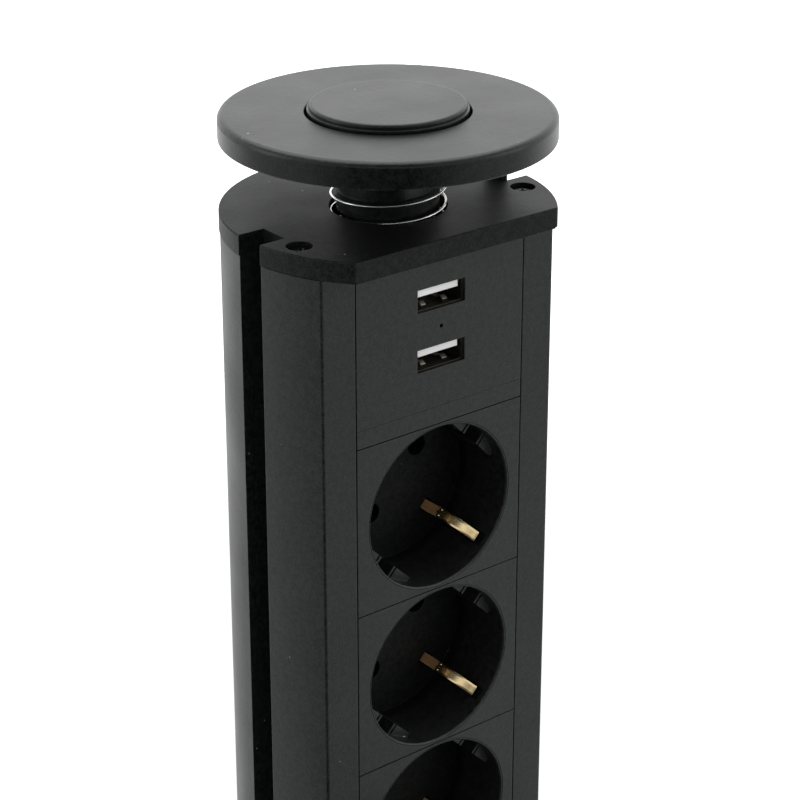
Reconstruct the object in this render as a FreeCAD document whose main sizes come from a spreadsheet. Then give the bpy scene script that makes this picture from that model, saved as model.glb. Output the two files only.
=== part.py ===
"""Pop-up power tower for a desk hole: a D-shaped column of sockets that slides in a fixed collar.

Millimetres. Z points up and z = 0 is the desk top, where the collar's gasket rests.
The tower's axis is the Z axis and its sockets face -Y. Everything is drawn with the tower raised
and the lid and button up.
"""

import FreeCAD
import Part
import math
import os

import Sketcher

Vector = FreeCAD.Vector
Rotation = FreeCAD.Rotation

doc = FreeCAD.newDocument("PowerTower")
sheet = doc.addObject("Spreadsheet::Sheet", "sizes")

# Driving dimensions
SIZES = (
    # The tower
    ("cap_top", 178.0, "top face of the cap above the desk"),
    ("tower_depth", 50.0, "lower end of the housing below the desk"),
    ("housing_radius", 37.0, "radius of the round part of the housing"),
    ("panel_front", 18.7, "distance of the flat front from the axis"),
    ("housing_corner", 0.8, "rounding of the two front corners"),
    ("housing_wall", 2.5, "wall around the rear hollow"),
    ("slot_width", 7.8, "width of the side slots and of the cap's notches"),
    ("slot_depth", 6.5, "depth of the side slots"),
    ("bay_back", 15.0, "rear wall of the bay behind the axis"),
    ("hollow_width", 42.0, "width of the rear hollow"),
    # The cap
    ("cap_overhang", 0.2, "cap beyond the housing"),
    ("cap_rim", 4.8, "thickness of the cap"),
    ("cap_front", 24.7, "distance of the cap's straight front from the axis"),
    ("cap_corner", 1.2, "rounding of the cap's front corners"),
    ("cap_groove", 0.25, "height of the fine groove between cap and housing"),
    ("cap_groove_depth", 0.45, "depth of this groove from the cap's edge"),
    ("cap_edge", 0.35, "rounding of the cap's upper edge"),
    ("well_radius", 13.1, "radius of the well that the spring stands in"),
    ("well_depth", 7.0, "depth of the spring's seat below the cap's top"),
    ("well_wall", 1.2, "wall of the well"),
    ("guide_depth", 12.6, "depth of the guide's floor below the cap's top"),
    ("guide_floor", 2.0, "thickness of the guide's floor"),
    ("guide_wall", 1.6, "wall of the shaft's guide"),
    ("rod_boss_depth", 22.0, "lower end of the rod's boss below the cap's top"),
    ("rod_boss_radius", 4.9, "radius of the rod's boss"),
    ("relief_width", 15.6, "width of the relief over the charger's shells"),
    ("screw_inset", 6.2, "screws inside the housing's radius"),
    ("screw_y", 9.5, "screws in front of the axis"),
    ("screw_well", 2.9, "radius of the screws' round wells"),
    ("screw_well_depth", 3.0, "depth of the screws' round wells"),
    ("screw_head", 2.7, "radius of a screw's head"),
    ("screw_head_height", 2.0, "height of a screw's head"),
    ("screw_shank", 1.5, "radius of a screw's shank"),
    ("screw_length", 14.0, "length of a screw under its head"),
    # The lid
    ("lid_gap", 15.9, "gap between the cap and the lid"),
    ("lid_thickness", 5.7, "thickness of the lid"),
    ("lid_round", 1.4, "rounding of the lid's upper edge"),
    ("lid_lower_round", 0.4, "rounding of the lid's lower edge"),
    ("lid_floor", 1.6, "floor under the button"),
    ("lid_hole", 18.15, "radius of the button's hole"),
    ("lid_hole_round", 0.3, "rounding of that hole's edge"),
    ("shaft_radius", 11.35, "radius of the lid's shaft"),
    ("shaft_bore", 7.0, "radius of the shaft's bores"),
    ("shaft_overlap", 0.9, "how far the shaft reaches below the cap's top"),
    ("bulkhead_depth", 6.1, "shelf in the shaft below the lid"),
    ("bulkhead", 3.0, "thickness of that shelf"),
    ("lid_screw_circle", 9.2, "circle of the lid's screws"),
    ("rod_radius", 3.0, "radius of the guide rod"),
    ("rod_plug", 4.0, "height of the rod's plug in the shaft"),
    ("rod_tail", 1.8, "rod below its boss"),
    ("clip_radius", 4.5, "radius of the rod's clip"),
    ("clip_thickness", 0.9, "thickness of the clips"),
    ("strip_thickness", 0.6, "thickness of the guide strip"),
    ("strip_width", 7.2, "width of the guide strip"),
    ("strip_length", 65.9, "length of the guide strip"),
    ("strip_foot", 4.7, "length of the strip's foot under the lid"),
    # The spring
    ("spring_radius", 12.95, "outer radius of the lid's spring"),
    ("spring_wire", 0.55, "thickness of its wire"),
    ("spring_turns", 5.06, "open turns between its two closed ends"),
    ("spring_end_pitch", 1.0, "pitch of its end turns"),
    ("spring_start", 101.0, "direction in which it starts"),
    # The button
    ("button_radius", 17.2, "radius of the button"),
    ("button_rise", 1.8, "button above the lid"),
    ("button_thickness", 3.6, "thickness of the button"),
    ("button_flange", 0.45, "step around the button's foot"),
    ("button_step", 0.55, "top of this step above the lid"),
    ("button_round", 0.7, "rounding of the button's edge"),
    ("stem_tail", 1.3, "button's stem below the shaft's shelf"),
    ("button_clip_radius", 5.0, "radius of the button's clip"),
    ("button_spring_radius", 5.2, "outer radius of the button's spring"),
    ("button_spring_wall", 1.4, "room that its wire takes"),
    # The charging module
    ("panel_width", 46.2, "width of the modules"),
    ("plate_thickness", 3.0, "thickness of the charger's face"),
    ("usb_face", 41.7, "lower edge of the charger's face below the cap's top"),
    ("strip_seam", 0.3, "seam between the strip below it and the upper socket"),
    ("seam", 0.06, "fine seam between them"),
    ("usb_first", 15.8, "upper mouth below the cap's top"),
    ("usb_pitch", 14.0, "distance of the two mouths"),
    ("usb_width", 13.2, "width of a mouth"),
    ("usb_height", 5.4, "height of a mouth"),
    ("shell_setback", 0.8, "shells behind the face"),
    ("shell_depth", 11.2, "length of a shell"),
    ("shell_wall", 0.3, "wall of a shell"),
    ("tongue_width", 11.1, "width of a tongue"),
    ("tongue_thickness", 1.5, "thickness of a tongue"),
    ("tongue_drop", 0.35, "tongue below the shell's roof"),
    ("tongue_setback", 0.5, "tongue behind the shell's edge"),
    ("tongue_base", 2.0, "block behind a tongue"),
    ("contact_width", 1.1, "width of a contact"),
    ("contact_pitch", 2.3, "distance of the contacts"),
    ("contact_thickness", 0.2, "thickness of a contact"),
    ("light_radius", 0.5, "radius of the light's hole"),
    ("board_inset", 2.1, "charger's board inside the modules' sides"),
    ("board_thickness", 1.4, "thickness of the board"),
    ("board_low", 40.0, "lower edge of the board below the cap's top"),
    ("board_high", 15.0, "upper edge of the board below the cap's top"),
    ("pillar_radius", 2.2, "radius of the board's pillars"),
    ("pillar_edge", 3.0, "pillars from the board's sides"),
    ("pillar_inset", 3.0, "pillars from the board's upper and lower edges"),
    ("board_screw", 0.95, "radius of the board's screws"),
    ("board_screw_length", 5.0, "board's screws in their pillars"),
    ("transformer_width", 9.4, "width of the transformer"),
    ("transformer_height", 14.0, "height of the transformer"),
    ("transformer_depth", 11.5, "depth of the transformer"),
    ("transformer_x", 10.7, "transformer to the left of the axis"),
    ("capacitor_radius", 3.6, "radius of a capacitor"),
    ("capacitor_length", 10.0, "length of a capacitor"),
    ("capacitor_x", 11.0, "capacitors to the right of the axis"),
    ("capacitor_pitch", 10.5, "distance of the capacitors"),
    ("controller_width", 6.0, "width of the controller"),
    ("controller_height", 3.2, "height of the controller"),
    # The sockets
    ("socket_first", 66.5, "upper socket's centre below the cap's top"),
    ("socket_pitch", 41.0, "distance of the sockets"),
    ("socket_seam", 0.3, "seam between the sockets"),
    ("recess_radius", 19.5, "radius of a recess"),
    ("recess_depth", 17.0, "depth of a recess"),
    ("recess_edge", 0.3, "bevel of a recess's mouth"),
    ("recess_floor", 3.2, "floor of a recess"),
    ("socket_turn", 45.0, "turn of the pins' line from level"),
    ("pin_pitch", 19.0, "distance of the two pin holes"),
    ("pin_hole", 2.5, "radius of a pin hole"),
    ("land_chord", 16.6, "distance of the lands from the recess's axis"),
    ("land_length", 17.4, "length of the lands"),
    ("land_setback", 3.9, "lands behind the mouth"),
    ("land_notch", 4.8, "notch in the middle of the lands"),
    ("land_rib", 0.6, "rib beside a land's groove"),
    ("land_groove", 0.5, "width of the groove in a land"),
    ("land_groove_depth", 1.3, "depth of the groove in a land"),
    ("rim_line", 0.16, "width of the fine groove around a recess"),
    ("rim_line_depth", 0.2, "depth of the fine groove around a recess"),
    ("rim_line_inset", 0.15, "fine groove outside a recess's bevel"),
    ("clip_slot_width", 3.2, "width of the slots for the earth clips"),
    ("clip_slot_outer", 21.0, "outer end of these slots from the recess's axis"),
    ("clip_width", 2.4, "width of an earth clip"),
    ("clip_strip", 0.5, "thickness of an earth clip"),
    ("clip_tail", 13.9, "an earth clip's tail from the recess's axis"),
    ("sleeve_bore", 2.4, "bore of a contact sleeve"),
    ("sleeve_wall", 0.8, "wall of a contact sleeve"),
    ("sleeve_length", 8.0, "length of a contact sleeve"),
    ("bar_width", 2.4, "width of the bars"),
    ("bar_thickness", 1.0, "thickness of the bars"),
    ("bar_step", 2.0, "earth bar behind the other two"),
    # The lower end
    ("block_width", 26.0, "width of the terminal block"),
    ("block_depth", 8.8, "depth of the terminal block"),
    ("block_height", 24.0, "height of the terminal block"),
    ("block_gap", 0.2, "terminal block from the bay's rear wall"),
    ("cover_thickness", 3.0, "thickness of the blank cover"),
    ("bottom_inset", 0.5, "bottom cap inside the sleeve's outer face"),
    ("bottom_thickness", 4.0, "thickness of the bottom cap"),
    ("gland_y", 6.0, "gland in front of the axis"),
    ("gland_thread", 6.0, "radius of the gland's thread"),
    ("gland_bore", 3.6, "radius of the gland's bore"),
    ("gland_hex", 9.2, "corner radius of the gland's hexagons"),
    ("gland_flange", 4.0, "height of the gland's hexagons"),
    ("gland_dome_radius", 7.6, "radius of the gland's dome"),
    ("gland_dome_height", 11.0, "height of the gland's dome"),
    # The collar
    ("collar_wall", 2.0, "wall of the collar's sleeve"),
    ("stop_gap", 0.1, "gap between the bottom cap and the sleeve"),
    ("flange_width", 8.1, "flange beyond the sleeve"),
    ("flange_thickness", 2.0, "thickness of the flange"),
    ("flange_bevel", 0.9, "bevel of the flange"),
    ("gasket_width", 6.0, "width of the gasket's band"),
    ("gasket_thickness", 1.0, "thickness of the gasket"),
    ("key_width", 7.0, "width of the guide keys"),
    ("key_top", 18.0, "upper ends of the keys below the desk"),
    ("key_length", 30.0, "length of the keys"),
    ("wiper_depth", 1.0, "depth of the wiper ring's groove"),
    ("wiper_top", 6.0, "upper face of the groove below the desk"),
    ("wiper_height", 3.0, "height of the groove"),
    ("plunger_radius", 2.0, "radius of the brake plunger"),
    ("plunger_drop", 33.0, "brake plunger below the desk"),
    ("plunger_inset", 0.4, "plunger inside the sleeve's outer face"),
    ("clamp_width", 7.1, "clamp ring beyond the sleeve"),
    ("clamp_height", 12.0, "height of the clamp ring"),
    ("clamp_top", 28.0, "upper face of the clamp ring below the desk"),
    ("clamp_grip", 2.6, "radius of its finger grips"),
    # Clearances
    ("slide_gap", 0.05, "running fit around round pieces"),
    ("fit_gap", 0.03, "close fit around fixed pieces"),
    ("soft_gap", 0.3, "gap at a spring's ends"),
    ("strip_gap", 0.15, "guide strip from the slot's floor"),
    ("clamp_gap", 0.1, "clamp ring around the sleeve"),
    ("panel_gap", 0.3, "gap beside the modules"),
    ("collar_gap", 0.9, "gap between the housing and the collar"),
    ("wiper_gap", 0.55, "gap between the housing and the wiper ring"),
    ("key_gap", 1.5, "gap between the keys and the slots' floors"),
    ("gasket_gap", 0.6, "gap between the sleeve and the gasket"),
)
for row, (alias, number, note) in enumerate(SIZES, start=1):
    sheet.set("A%d" % row, note)
    sheet.set("B%d" % row, "%g" % number)
    sheet.setAlias("B%d" % row, alias)
doc.recompute()


class Term:
    """A size or a sum of sizes, as its present value and as the expression that keeps it."""

    def __init__(self, value, text):
        self.value = float(value)
        self.text = text

    def joined(self, other, sign, turned_round=False):
        other = term(other)
        first, second = (other, self) if turned_round else (self, other)
        if sign == "+":
            value = first.value + second.value
        elif sign == "-":
            value = first.value - second.value
        elif sign == "*":
            value = first.value * second.value
        else:
            value = first.value / second.value
        return Term(value, "(%s %s %s)" % (first.text, sign, second.text))

    def __add__(self, other):
        return self.joined(other, "+")

    def __radd__(self, other):
        return self.joined(other, "+", True)

    def __sub__(self, other):
        return self.joined(other, "-")

    def __rsub__(self, other):
        return self.joined(other, "-", True)

    def __mul__(self, other):
        return self.joined(other, "*")

    def __rmul__(self, other):
        return self.joined(other, "*", True)

    def __truediv__(self, other):
        return self.joined(other, "/")

    def __neg__(self):
        return self.joined(0.0, "-", True)


def term(item):
    """A number or a size as a Term."""
    return item if isinstance(item, Term) else Term(item, "%.9g" % item)


class Sizes:
    """The sheet's sizes by name."""

    def __getattr__(self, alias):
        return Term(sheet.get(alias), "sizes.%s" % alias)


s = Sizes()
pieces = []


def bind(obj, **terms):
    """Ties properties to expressions. Placement_x, _y and _z stand for the base's coordinates."""
    for name, item in terms.items():
        path = name
        if name.startswith("Placement_"):
            path = "Placement.Base." + name[-1]
        obj.setExpression(path, term(item).text)
    return obj


def box(name, x, y, z):
    """A box between two limits along each axis."""
    obj = doc.addObject("Part::Box", name)
    bind(obj, Length=x[1] - term(x[0]), Width=y[1] - term(y[0]), Height=z[1] - term(z[0]))
    return bind(obj, Placement_x=x[0], Placement_y=y[0], Placement_z=z[0])


def rod(name, radius, span, axis="z", at=(0.0, 0.0)):
    """A cylinder along an axis. "at" gives its place on the two other axes, in order."""
    obj = doc.addObject("Part::Cylinder", name)
    bind(obj, Radius=radius, Height=span[1] - term(span[0]))
    if axis == "z":
        return bind(obj, Placement_x=at[0], Placement_y=at[1], Placement_z=span[0])
    if axis == "y":
        obj.Placement = FreeCAD.Placement(Vector(0, 0, 0), Rotation(Vector(1, 0, 0), -90))
        return bind(obj, Placement_x=at[0], Placement_y=span[0], Placement_z=at[1])
    obj.Placement = FreeCAD.Placement(Vector(0, 0, 0), Rotation(Vector(0, 1, 0), 90))
    return bind(obj, Placement_x=span[0], Placement_y=at[0], Placement_z=at[1])


def hexagon(name, corner, span, at):
    """A hexagonal prism that stands along Z."""
    obj = doc.addObject("Part::Prism", name)
    obj.Polygon = 6
    bind(obj, Circumradius=corner, Height=span[1] - term(span[0]))
    return bind(obj, Placement_x=at[0], Placement_y=at[1], Placement_z=span[0])


def fuse(name, shapes):
    obj = doc.addObject("Part::MultiFuse", name)
    obj.Shapes = shapes
    return obj


def common(name, shapes):
    obj = doc.addObject("Part::MultiCommon", name)
    obj.Shapes = shapes
    return obj


def cut(name, base, tools):
    obj = doc.addObject("Part::Cut", name)
    obj.Base = base
    obj.Tool = tools[0] if len(tools) == 1 else fuse(name + "_tools", tools)
    return obj


def group(name, shapes):
    obj = doc.addObject("Part::Compound", name)
    obj.Links = shapes
    return obj


def piece(obj, label):
    """Marks an object as one of the sub-parts under its own label."""
    obj.Label = label
    pieces.append(obj)
    return obj


def plane_of(body, role):
    return [item for item in body.Origin.OriginFeatures if item.Role == role][0]


def outline(body, role, name, corners):
    """A closed sketch of straight lines whose corners are bound to sizes."""
    sketch = body.newObject("Sketcher::SketchObject", name)
    sketch.AttachmentSupport = [(plane_of(body, role), "")]
    sketch.MapMode = "FlatFace"
    corners = [(term(a), term(b)) for a, b in corners]
    count = len(corners)
    for number in range(count):
        a = corners[number]
        b = corners[(number + 1) % count]
        start = Vector(a[0].value, a[1].value, 0)
        sketch.addGeometry(Part.LineSegment(start, Vector(b[0].value, b[1].value, 0)), False)
    for number in range(count):
        following = (number + 1) % count
        sketch.addConstraint(Sketcher.Constraint("Coincident", number, 2, following, 1))
    for number, (a, b) in enumerate(corners):
        if a.value == 0.0:
            sketch.addConstraint(Sketcher.Constraint("PointOnObject", number, 1, -2))
        else:
            index = sketch.addConstraint(
                Sketcher.Constraint("DistanceX", -1, 1, number, 1, a.value))
            sketch.setExpression("Constraints[%d]" % index, a.text)
        if b.value == 0.0:
            sketch.addConstraint(Sketcher.Constraint("PointOnObject", number, 1, -1))
        else:
            index = sketch.addConstraint(
                Sketcher.Constraint("DistanceY", -1, 1, number, 1, b.value))
            sketch.setExpression("Constraints[%d]" % index, b.text)
    return sketch


def turned(name, corners, bottom):
    """A body of revolution about Z. Corners are (radius, height above the bottom)."""
    body = doc.addObject("PartDesign::Body", name)
    sketch = outline(body, "XZ_Plane", name + "_profile", corners)
    turn = body.newObject("PartDesign::Revolution", name + "_turn")
    turn.Profile = sketch
    turn.ReferenceAxis = (sketch, ["V_Axis"])
    turn.Angle = 360.0
    bind(body, Placement_z=bottom)
    return body


def edge_names(shape, wanted):
    """Names of the edges that a test accepts."""
    return ["Edge%d" % n for n, edge in enumerate(shape.Edges, start=1) if wanted(edge)]


def circle_at(radius, height):
    """A test for the full circle of a radius at a height of a turned body."""

    def wanted(edge):
        curve = edge.Curve
        return (
            isinstance(curve, Part.Circle)
            and abs(curve.Radius - radius.value) < 1e-5
            and abs(curve.Center.z - height.value) < 1e-5
        )

    return wanted


def rounded(body, name, wanted, radius):
    """Rounds edges of a body's last feature."""
    doc.recompute()
    names = edge_names(body.Tip.Shape, wanted)
    if not names:
        raise RuntimeError("no edge found to round for %s" % name)
    base = body.Tip
    fillet = body.newObject("PartDesign::Fillet", name)
    fillet.Base = (base, names)
    return bind(fillet, Radius=radius)


def rounded_solid(name, base, rules):
    """Rounds edges of a solid. Each rule is a test and a radius."""
    doc.recompute()
    obj = doc.addObject("Part::Fillet", name)
    obj.Base = base
    edges = []
    for wanted, radius in rules:
        found = edge_names(base.Shape, wanted)
        if not found:
            raise RuntimeError("no edge found to round for %s" % name)
        edges += [(int(text[4:]), radius.value, radius.value) for text in found]
    obj.Edges = edges
    return obj


def upright_at(x, y):
    """A test for the upright straight edges at a place, to the left or to the right."""

    def wanted(edge):
        ends = [vertex.Point for vertex in edge.Vertexes]
        return len(ends) == 2 and all(
            math.hypot(abs(end.x) - x, end.y - y) < 0.01 for end in ends
        ) and abs(ends[0].z - ends[1].z) > 1.0

    return wanted


# Levels, from the desk top
cap_under = s.cap_top - s.cap_rim
tower_low = -s.tower_depth
sleeve_low = tower_low + s.stop_gap
lid_under = s.cap_top + s.lid_gap
lid_top = lid_under + s.lid_thickness
panel_y = -s.panel_front
slot_half = s.slot_width / 2
panel_half = s.panel_width / 2
bay_half = panel_half + s.panel_gap
shaft_low = s.cap_top - s.shaft_overlap
well_floor = s.cap_top - s.well_depth
guide_top = s.cap_top - s.guide_depth
boss_low = s.cap_top - s.rod_boss_depth
socket_z = [s.cap_top - s.socket_first - s.socket_pitch * n for n in range(3)]
socket_half = (s.socket_pitch - s.socket_seam) / 2
usb_z = [s.cap_top - s.usb_first - s.usb_pitch * n for n in range(2)]
slot_floor = s.housing_radius - s.slot_depth
cap_radius = s.housing_radius + s.cap_overhang
lid_radius = s.housing_radius
screw_x = s.housing_radius - s.screw_inset
board_half = panel_half - s.board_inset
pillar_x = board_half - s.pillar_edge
collar_bore = s.housing_radius + s.collar_gap
collar_outer = collar_bore + s.collar_wall
flange_radius = collar_outer + s.flange_width
gasket_inner = collar_outer + s.gasket_gap
gasket_outer = gasket_inner + s.gasket_width
bottom_radius = collar_outer - s.bottom_inset
key_inner = slot_floor + s.key_gap
wiper_bore = s.housing_radius + s.wiper_gap
wiper_groove = collar_bore + s.wiper_depth
plunger_outer = collar_outer - s.plunger_inset
clamp_outer = collar_outer + s.clamp_width
far = flange_radius

# Housing: a D-shaped profile with a bay for the modules, a rear hollow and two side slots
span = (tower_low, cap_under)
profile = rod("housing_round", s.housing_radius, span)
rear = common("housing_rear", [
    rod("housing_rear_round", s.housing_radius - s.housing_wall, span),
    box("housing_rear_box", (-s.hollow_width / 2, s.hollow_width / 2), (s.bay_back + s.housing_wall, far), span),
])
tools = [
    box("housing_front", (-far, far), (-far, panel_y), span),
    box("housing_slot_left", (-far, -slot_floor), (-slot_half, slot_half), span),
    box("housing_slot_right", (slot_floor, far), (-slot_half, slot_half), span),
    box("housing_bay", (-bay_half, bay_half), (-far, s.bay_back), span),
    rear,
]
hole_depth = s.screw_length + 1.0
hole_top = s.cap_top - s.screw_well_depth - hole_depth
hole_low = tower_low - s.bottom_thickness + s.screw_well_depth + hole_depth
for side, x in (("left", -screw_x), ("right", screw_x)):
    at = (x, -s.screw_y)
    tools.append(rod("housing_hole_top_" + side, s.screw_shank + s.slide_gap, (hole_top, cap_under), "z", at))
    tools.append(rod("housing_hole_low_" + side, s.screw_shank + s.slide_gap, (tower_low, hole_low), "z", at))
housing = cut("housing_cut", profile, tools)
corner_x = math.sqrt(s.housing_radius.value ** 2 - s.panel_front.value ** 2)
rules = [(upright_at(corner_x, panel_y.value), s.housing_corner)]
piece(rounded_solid("housing_rounded", housing, rules), "housing")

# Top cap: a plate with a straight front, side notches, the spring's well and the shaft's guide
well_outer = s.well_radius + s.well_wall
guide_outer = s.shaft_radius + s.slide_gap + s.guide_wall
plate = cut("cap_plate", rod("cap_round", cap_radius, (cap_under, s.cap_top)), [
    box("cap_straight", (-far, far), (-far, -s.cap_front), (cap_under, s.cap_top)),
    box("cap_notch_left", (-far, -slot_floor), (-slot_half, slot_half), (cap_under, s.cap_top)),
    box("cap_notch_right", (slot_floor, far), (-slot_half, slot_half), (cap_under, s.cap_top)),
])
corner_x = math.sqrt(cap_radius.value ** 2 - s.cap_front.value ** 2)
plate = rounded_solid("cap_plate_corners", plate, [(upright_at(corner_x, -s.cap_front.value), s.cap_corner)])


def cap_rim_edge(edge):
    """The cap's upper edge, apart from its notches."""
    box_of = edge.BoundBox
    level = abs(box_of.ZMin - s.cap_top.value) < 1e-4 and abs(box_of.ZMax - s.cap_top.value) < 1e-4
    middle = edge.valueAt((edge.FirstParameter + edge.LastParameter) / 2)
    return level and not (abs(middle.x) > slot_floor.value - 0.1 and abs(middle.y) < slot_half.value + 0.1)


plate = rounded_solid("cap_plate_edge", plate, [(cap_rim_edge, s.cap_edge)])
solid_cap = fuse("cap_with_bosses", [
    plate,
    rod("cap_well_boss", well_outer, (well_floor - s.guide_wall, cap_under)),
    rod("cap_guide_boss", guide_outer, (guide_top - s.guide_floor, cap_under)),
    rod("cap_rod_boss", s.rod_boss_radius, (boss_low, cap_under)),
])
shell_top = usb_z[0] + s.usb_height / 2
groove_span = (cap_under, cap_under + s.cap_groove)
tools = [
    cut("cap_groove_ring", rod("cap_groove_outer", far, groove_span), [
        rod("cap_groove_inner", cap_radius - s.cap_groove_depth, groove_span),
    ]),
    rod("cap_well", s.well_radius, (well_floor, s.cap_top)),
    rod("cap_guide_bore", s.shaft_radius + s.slide_gap, (guide_top, s.cap_top)),
    rod("cap_rod_bore", s.rod_radius + s.slide_gap, (boss_low, s.cap_top)),
    box("cap_relief", (-s.relief_width / 2, s.relief_width / 2), (-far, -s.rod_boss_radius - 1.0),
        (boss_low, shell_top + 0.6)),
]
for side, x in (("left", -screw_x), ("right", screw_x)):
    at = (x, -s.screw_y)
    tools.append(rod("cap_screw_well_" + side, s.screw_well, (s.cap_top - s.screw_well_depth, s.cap_top), "z", at))
    tools.append(rod("cap_screw_hole_" + side, s.screw_shank + s.slide_gap, (cap_under, s.cap_top), "z", at))
piece(cut("cap_cut", solid_cap, tools), "top_cap")


def cross_screw(name, at, seat, up):
    """A cross-head screw whose head sits on a seat. It points down, or up where up is false."""
    if up:
        head = (seat, seat + s.screw_head_height)
        shank = (seat - s.screw_length, seat)
        recess = (head[1] - 1.2, head[1])
    else:
        head = (seat - s.screw_head_height, seat)
        shank = (seat, seat + s.screw_length)
        recess = (head[0], head[0] + 1.2)
    body = fuse(name + "_body", [
        rod(name + "_head", s.screw_head, head, "z", at),
        rod(name + "_shank", s.screw_shank, shank, "z", at),
    ])
    arms = []
    for number, (wide, deep) in enumerate(((3.4, 0.8), (0.8, 3.4))):
        arms.append(box(
            "%s_arm_%d" % (name, number), (at[0] - wide / 2, at[0] + wide / 2),
            (at[1] - deep / 2, at[1] + deep / 2), recess))
    return cut(name, body, arms)


seat = s.cap_top - s.screw_well_depth
piece(group("cap_screw_pair", [
    cross_screw("cap_screw_left", (-screw_x, -s.screw_y), seat, True),
    cross_screw("cap_screw_right", (screw_x, -s.screw_y), seat, True),
]), "cap_screws")

# Lid with the button's hole, and its hollow shaft
lid_body = turned("lid_body", [
    (s.shaft_bore, 0.0), (lid_radius, 0.0), (lid_radius, s.lid_thickness),
    (s.lid_hole, s.lid_thickness), (s.lid_hole, s.lid_floor), (s.shaft_bore, s.lid_floor),
], lid_under)
rounded(lid_body, "lid_top_round", circle_at(lid_radius, s.lid_thickness), s.lid_round)
rounded(lid_body, "lid_low_round", circle_at(lid_radius, term(0.0)), s.lid_lower_round)
rounded(lid_body, "lid_hole_edge", circle_at(s.lid_hole, s.lid_thickness), s.lid_hole_round)
tools = []
lid_screws = []
for number in range(3):
    angle = math.radians(30.0 + 120.0 * number)
    at = (s.lid_screw_circle * math.cos(angle), s.lid_screw_circle * math.sin(angle))
    name = "lid_screw_%d" % number
    tools.append(rod(name + "_hole", 1.1, (lid_under, lid_under + s.lid_floor), "z", at))
    tools.append(rod(name + "_sink", 1.9, (lid_under + s.lid_floor - 0.9, lid_under + s.lid_floor), "z", at))
    lid_screws.append(fuse(name, [
        rod(name + "_head", 1.85, (lid_under + s.lid_floor - 0.9, lid_under + s.lid_floor - 0.1), "z", at),
        rod(name + "_shank", 1.05, (lid_under - 5.0, lid_under + s.lid_floor - 0.9), "z", at),
    ]))
strip_x = (slot_floor + s.strip_gap, slot_floor + s.strip_gap + s.strip_thickness)
strip_screw_x = strip_x[1] - s.strip_foot * 0.6
tools.append(rod("strip_screw_hole", 0.95, (lid_under, lid_under + 3.0), "z", (strip_screw_x, 0.0)))
piece(cut("lid_cut", lid_body, tools), "lid")
piece(group("lid_screw_set", lid_screws), "lid_screws")

shelf_top = lid_under - s.bulkhead_depth
shelf_low = shelf_top - s.bulkhead
shaft_tools = [
    rod("shaft_bore_top", s.shaft_bore, (shelf_top, lid_under)),
    rod("shaft_shelf_hole", s.rod_radius + s.slide_gap, (shelf_low, shelf_top)),
    rod("shaft_bore_low", s.shaft_bore, (shaft_low, shelf_low)),
]
for number in range(3):
    angle = math.radians(30.0 + 120.0 * number)
    at = (s.lid_screw_circle * math.cos(angle), s.lid_screw_circle * math.sin(angle))
    shaft_tools.append(rod("shaft_screw_hole_%d" % number, 1.1, (lid_under - 5.5, lid_under), "z", at))
piece(cut("shaft_cut", rod("shaft_round", s.shaft_radius, (shaft_low, lid_under)), shaft_tools), "lid_shaft")

# Guide rod under the shaft, with the clip that keeps the lid
clip_top = boss_low - s.slide_gap
rod_body = turned("guide_rod_body", [
    (0.0, 0.0), (s.rod_radius, 0.0),
    (s.rod_radius, s.rod_boss_depth + s.rod_tail - s.shaft_overlap),
    (s.shaft_bore - s.fit_gap, s.rod_boss_depth + s.rod_tail - s.shaft_overlap),
    (s.shaft_bore - s.fit_gap, s.rod_boss_depth + s.rod_tail - s.shaft_overlap + s.rod_plug),
    (0.0, s.rod_boss_depth + s.rod_tail - s.shaft_overlap + s.rod_plug),
], boss_low - s.rod_tail)
piece(rod_body, "guide_rod")


def spring_clip(name, radius, span):
    """A flat clip around a rod, open at the back."""
    return cut(name, rod(name + "_disc", radius, span), [
        rod(name + "_bore", s.rod_radius + s.fit_gap, span),
        box(name + "_mouth", (-s.rod_radius * 0.8, s.rod_radius * 0.8), (0.0, radius + 1.0), span),
    ])


piece(spring_clip("rod_clip_cut", s.clip_radius, (clip_top - s.clip_thickness, clip_top)), "rod_clip")

# Guide strip in the right slot, with its foot screwed under the lid
strip_half = s.strip_width / 2
foot_low = lid_under - s.strip_thickness
strip = fuse("guide_strip_both", [
    box("guide_strip_long", strip_x, (-strip_half, strip_half), (lid_under - s.strip_length, lid_under)),
    box("guide_strip_foot", (strip_x[1] - s.strip_foot, strip_x[1]), (-strip_half, strip_half),
        (foot_low, lid_under)),
])
hole = rod("guide_strip_hole", 0.95, (foot_low, lid_under), "z", (strip_screw_x, 0.0))
piece(cut("guide_strip_cut", strip, [hole]), "guide_strip")
piece(fuse("strip_screw_both", [
    rod("strip_screw_head", 1.6, (foot_low - 1.0, foot_low), "z", (strip_screw_x, 0.0)),
    rod("strip_screw_shank", 0.9, (foot_low, lid_under + 2.6), "z", (strip_screw_x, 0.0)),
]), "strip_screw")

# Button in the lid, its stem, clip and return spring
button_top = lid_top + s.button_rise
button_low = button_top - s.button_thickness
stem_low = shelf_low - s.stem_tail
stem = button_low - stem_low
step = stem + s.button_thickness - s.button_rise + s.button_step
button_body = turned("button_body", [
    (0.0, 0.0), (s.rod_radius, 0.0), (s.rod_radius, stem), (s.button_radius + s.button_flange, stem),
    (s.button_radius + s.button_flange, step), (s.button_radius, step),
    (s.button_radius, stem + s.button_thickness), (0.0, stem + s.button_thickness),
], stem_low)
rounded(button_body, "button_edge", circle_at(s.button_radius, stem + s.button_thickness), s.button_round)
piece(button_body, "button")
top = shelf_low - s.slide_gap
piece(spring_clip("button_clip_cut", s.button_clip_radius, (top - s.clip_thickness, top)), "button_clip")
span = (shelf_top, button_low)
piece(cut("button_spring_cut", rod("button_spring_round", s.button_spring_radius, span), [
    rod("button_spring_bore", s.button_spring_radius - s.button_spring_wall, span),
]), "button_spring")

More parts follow.
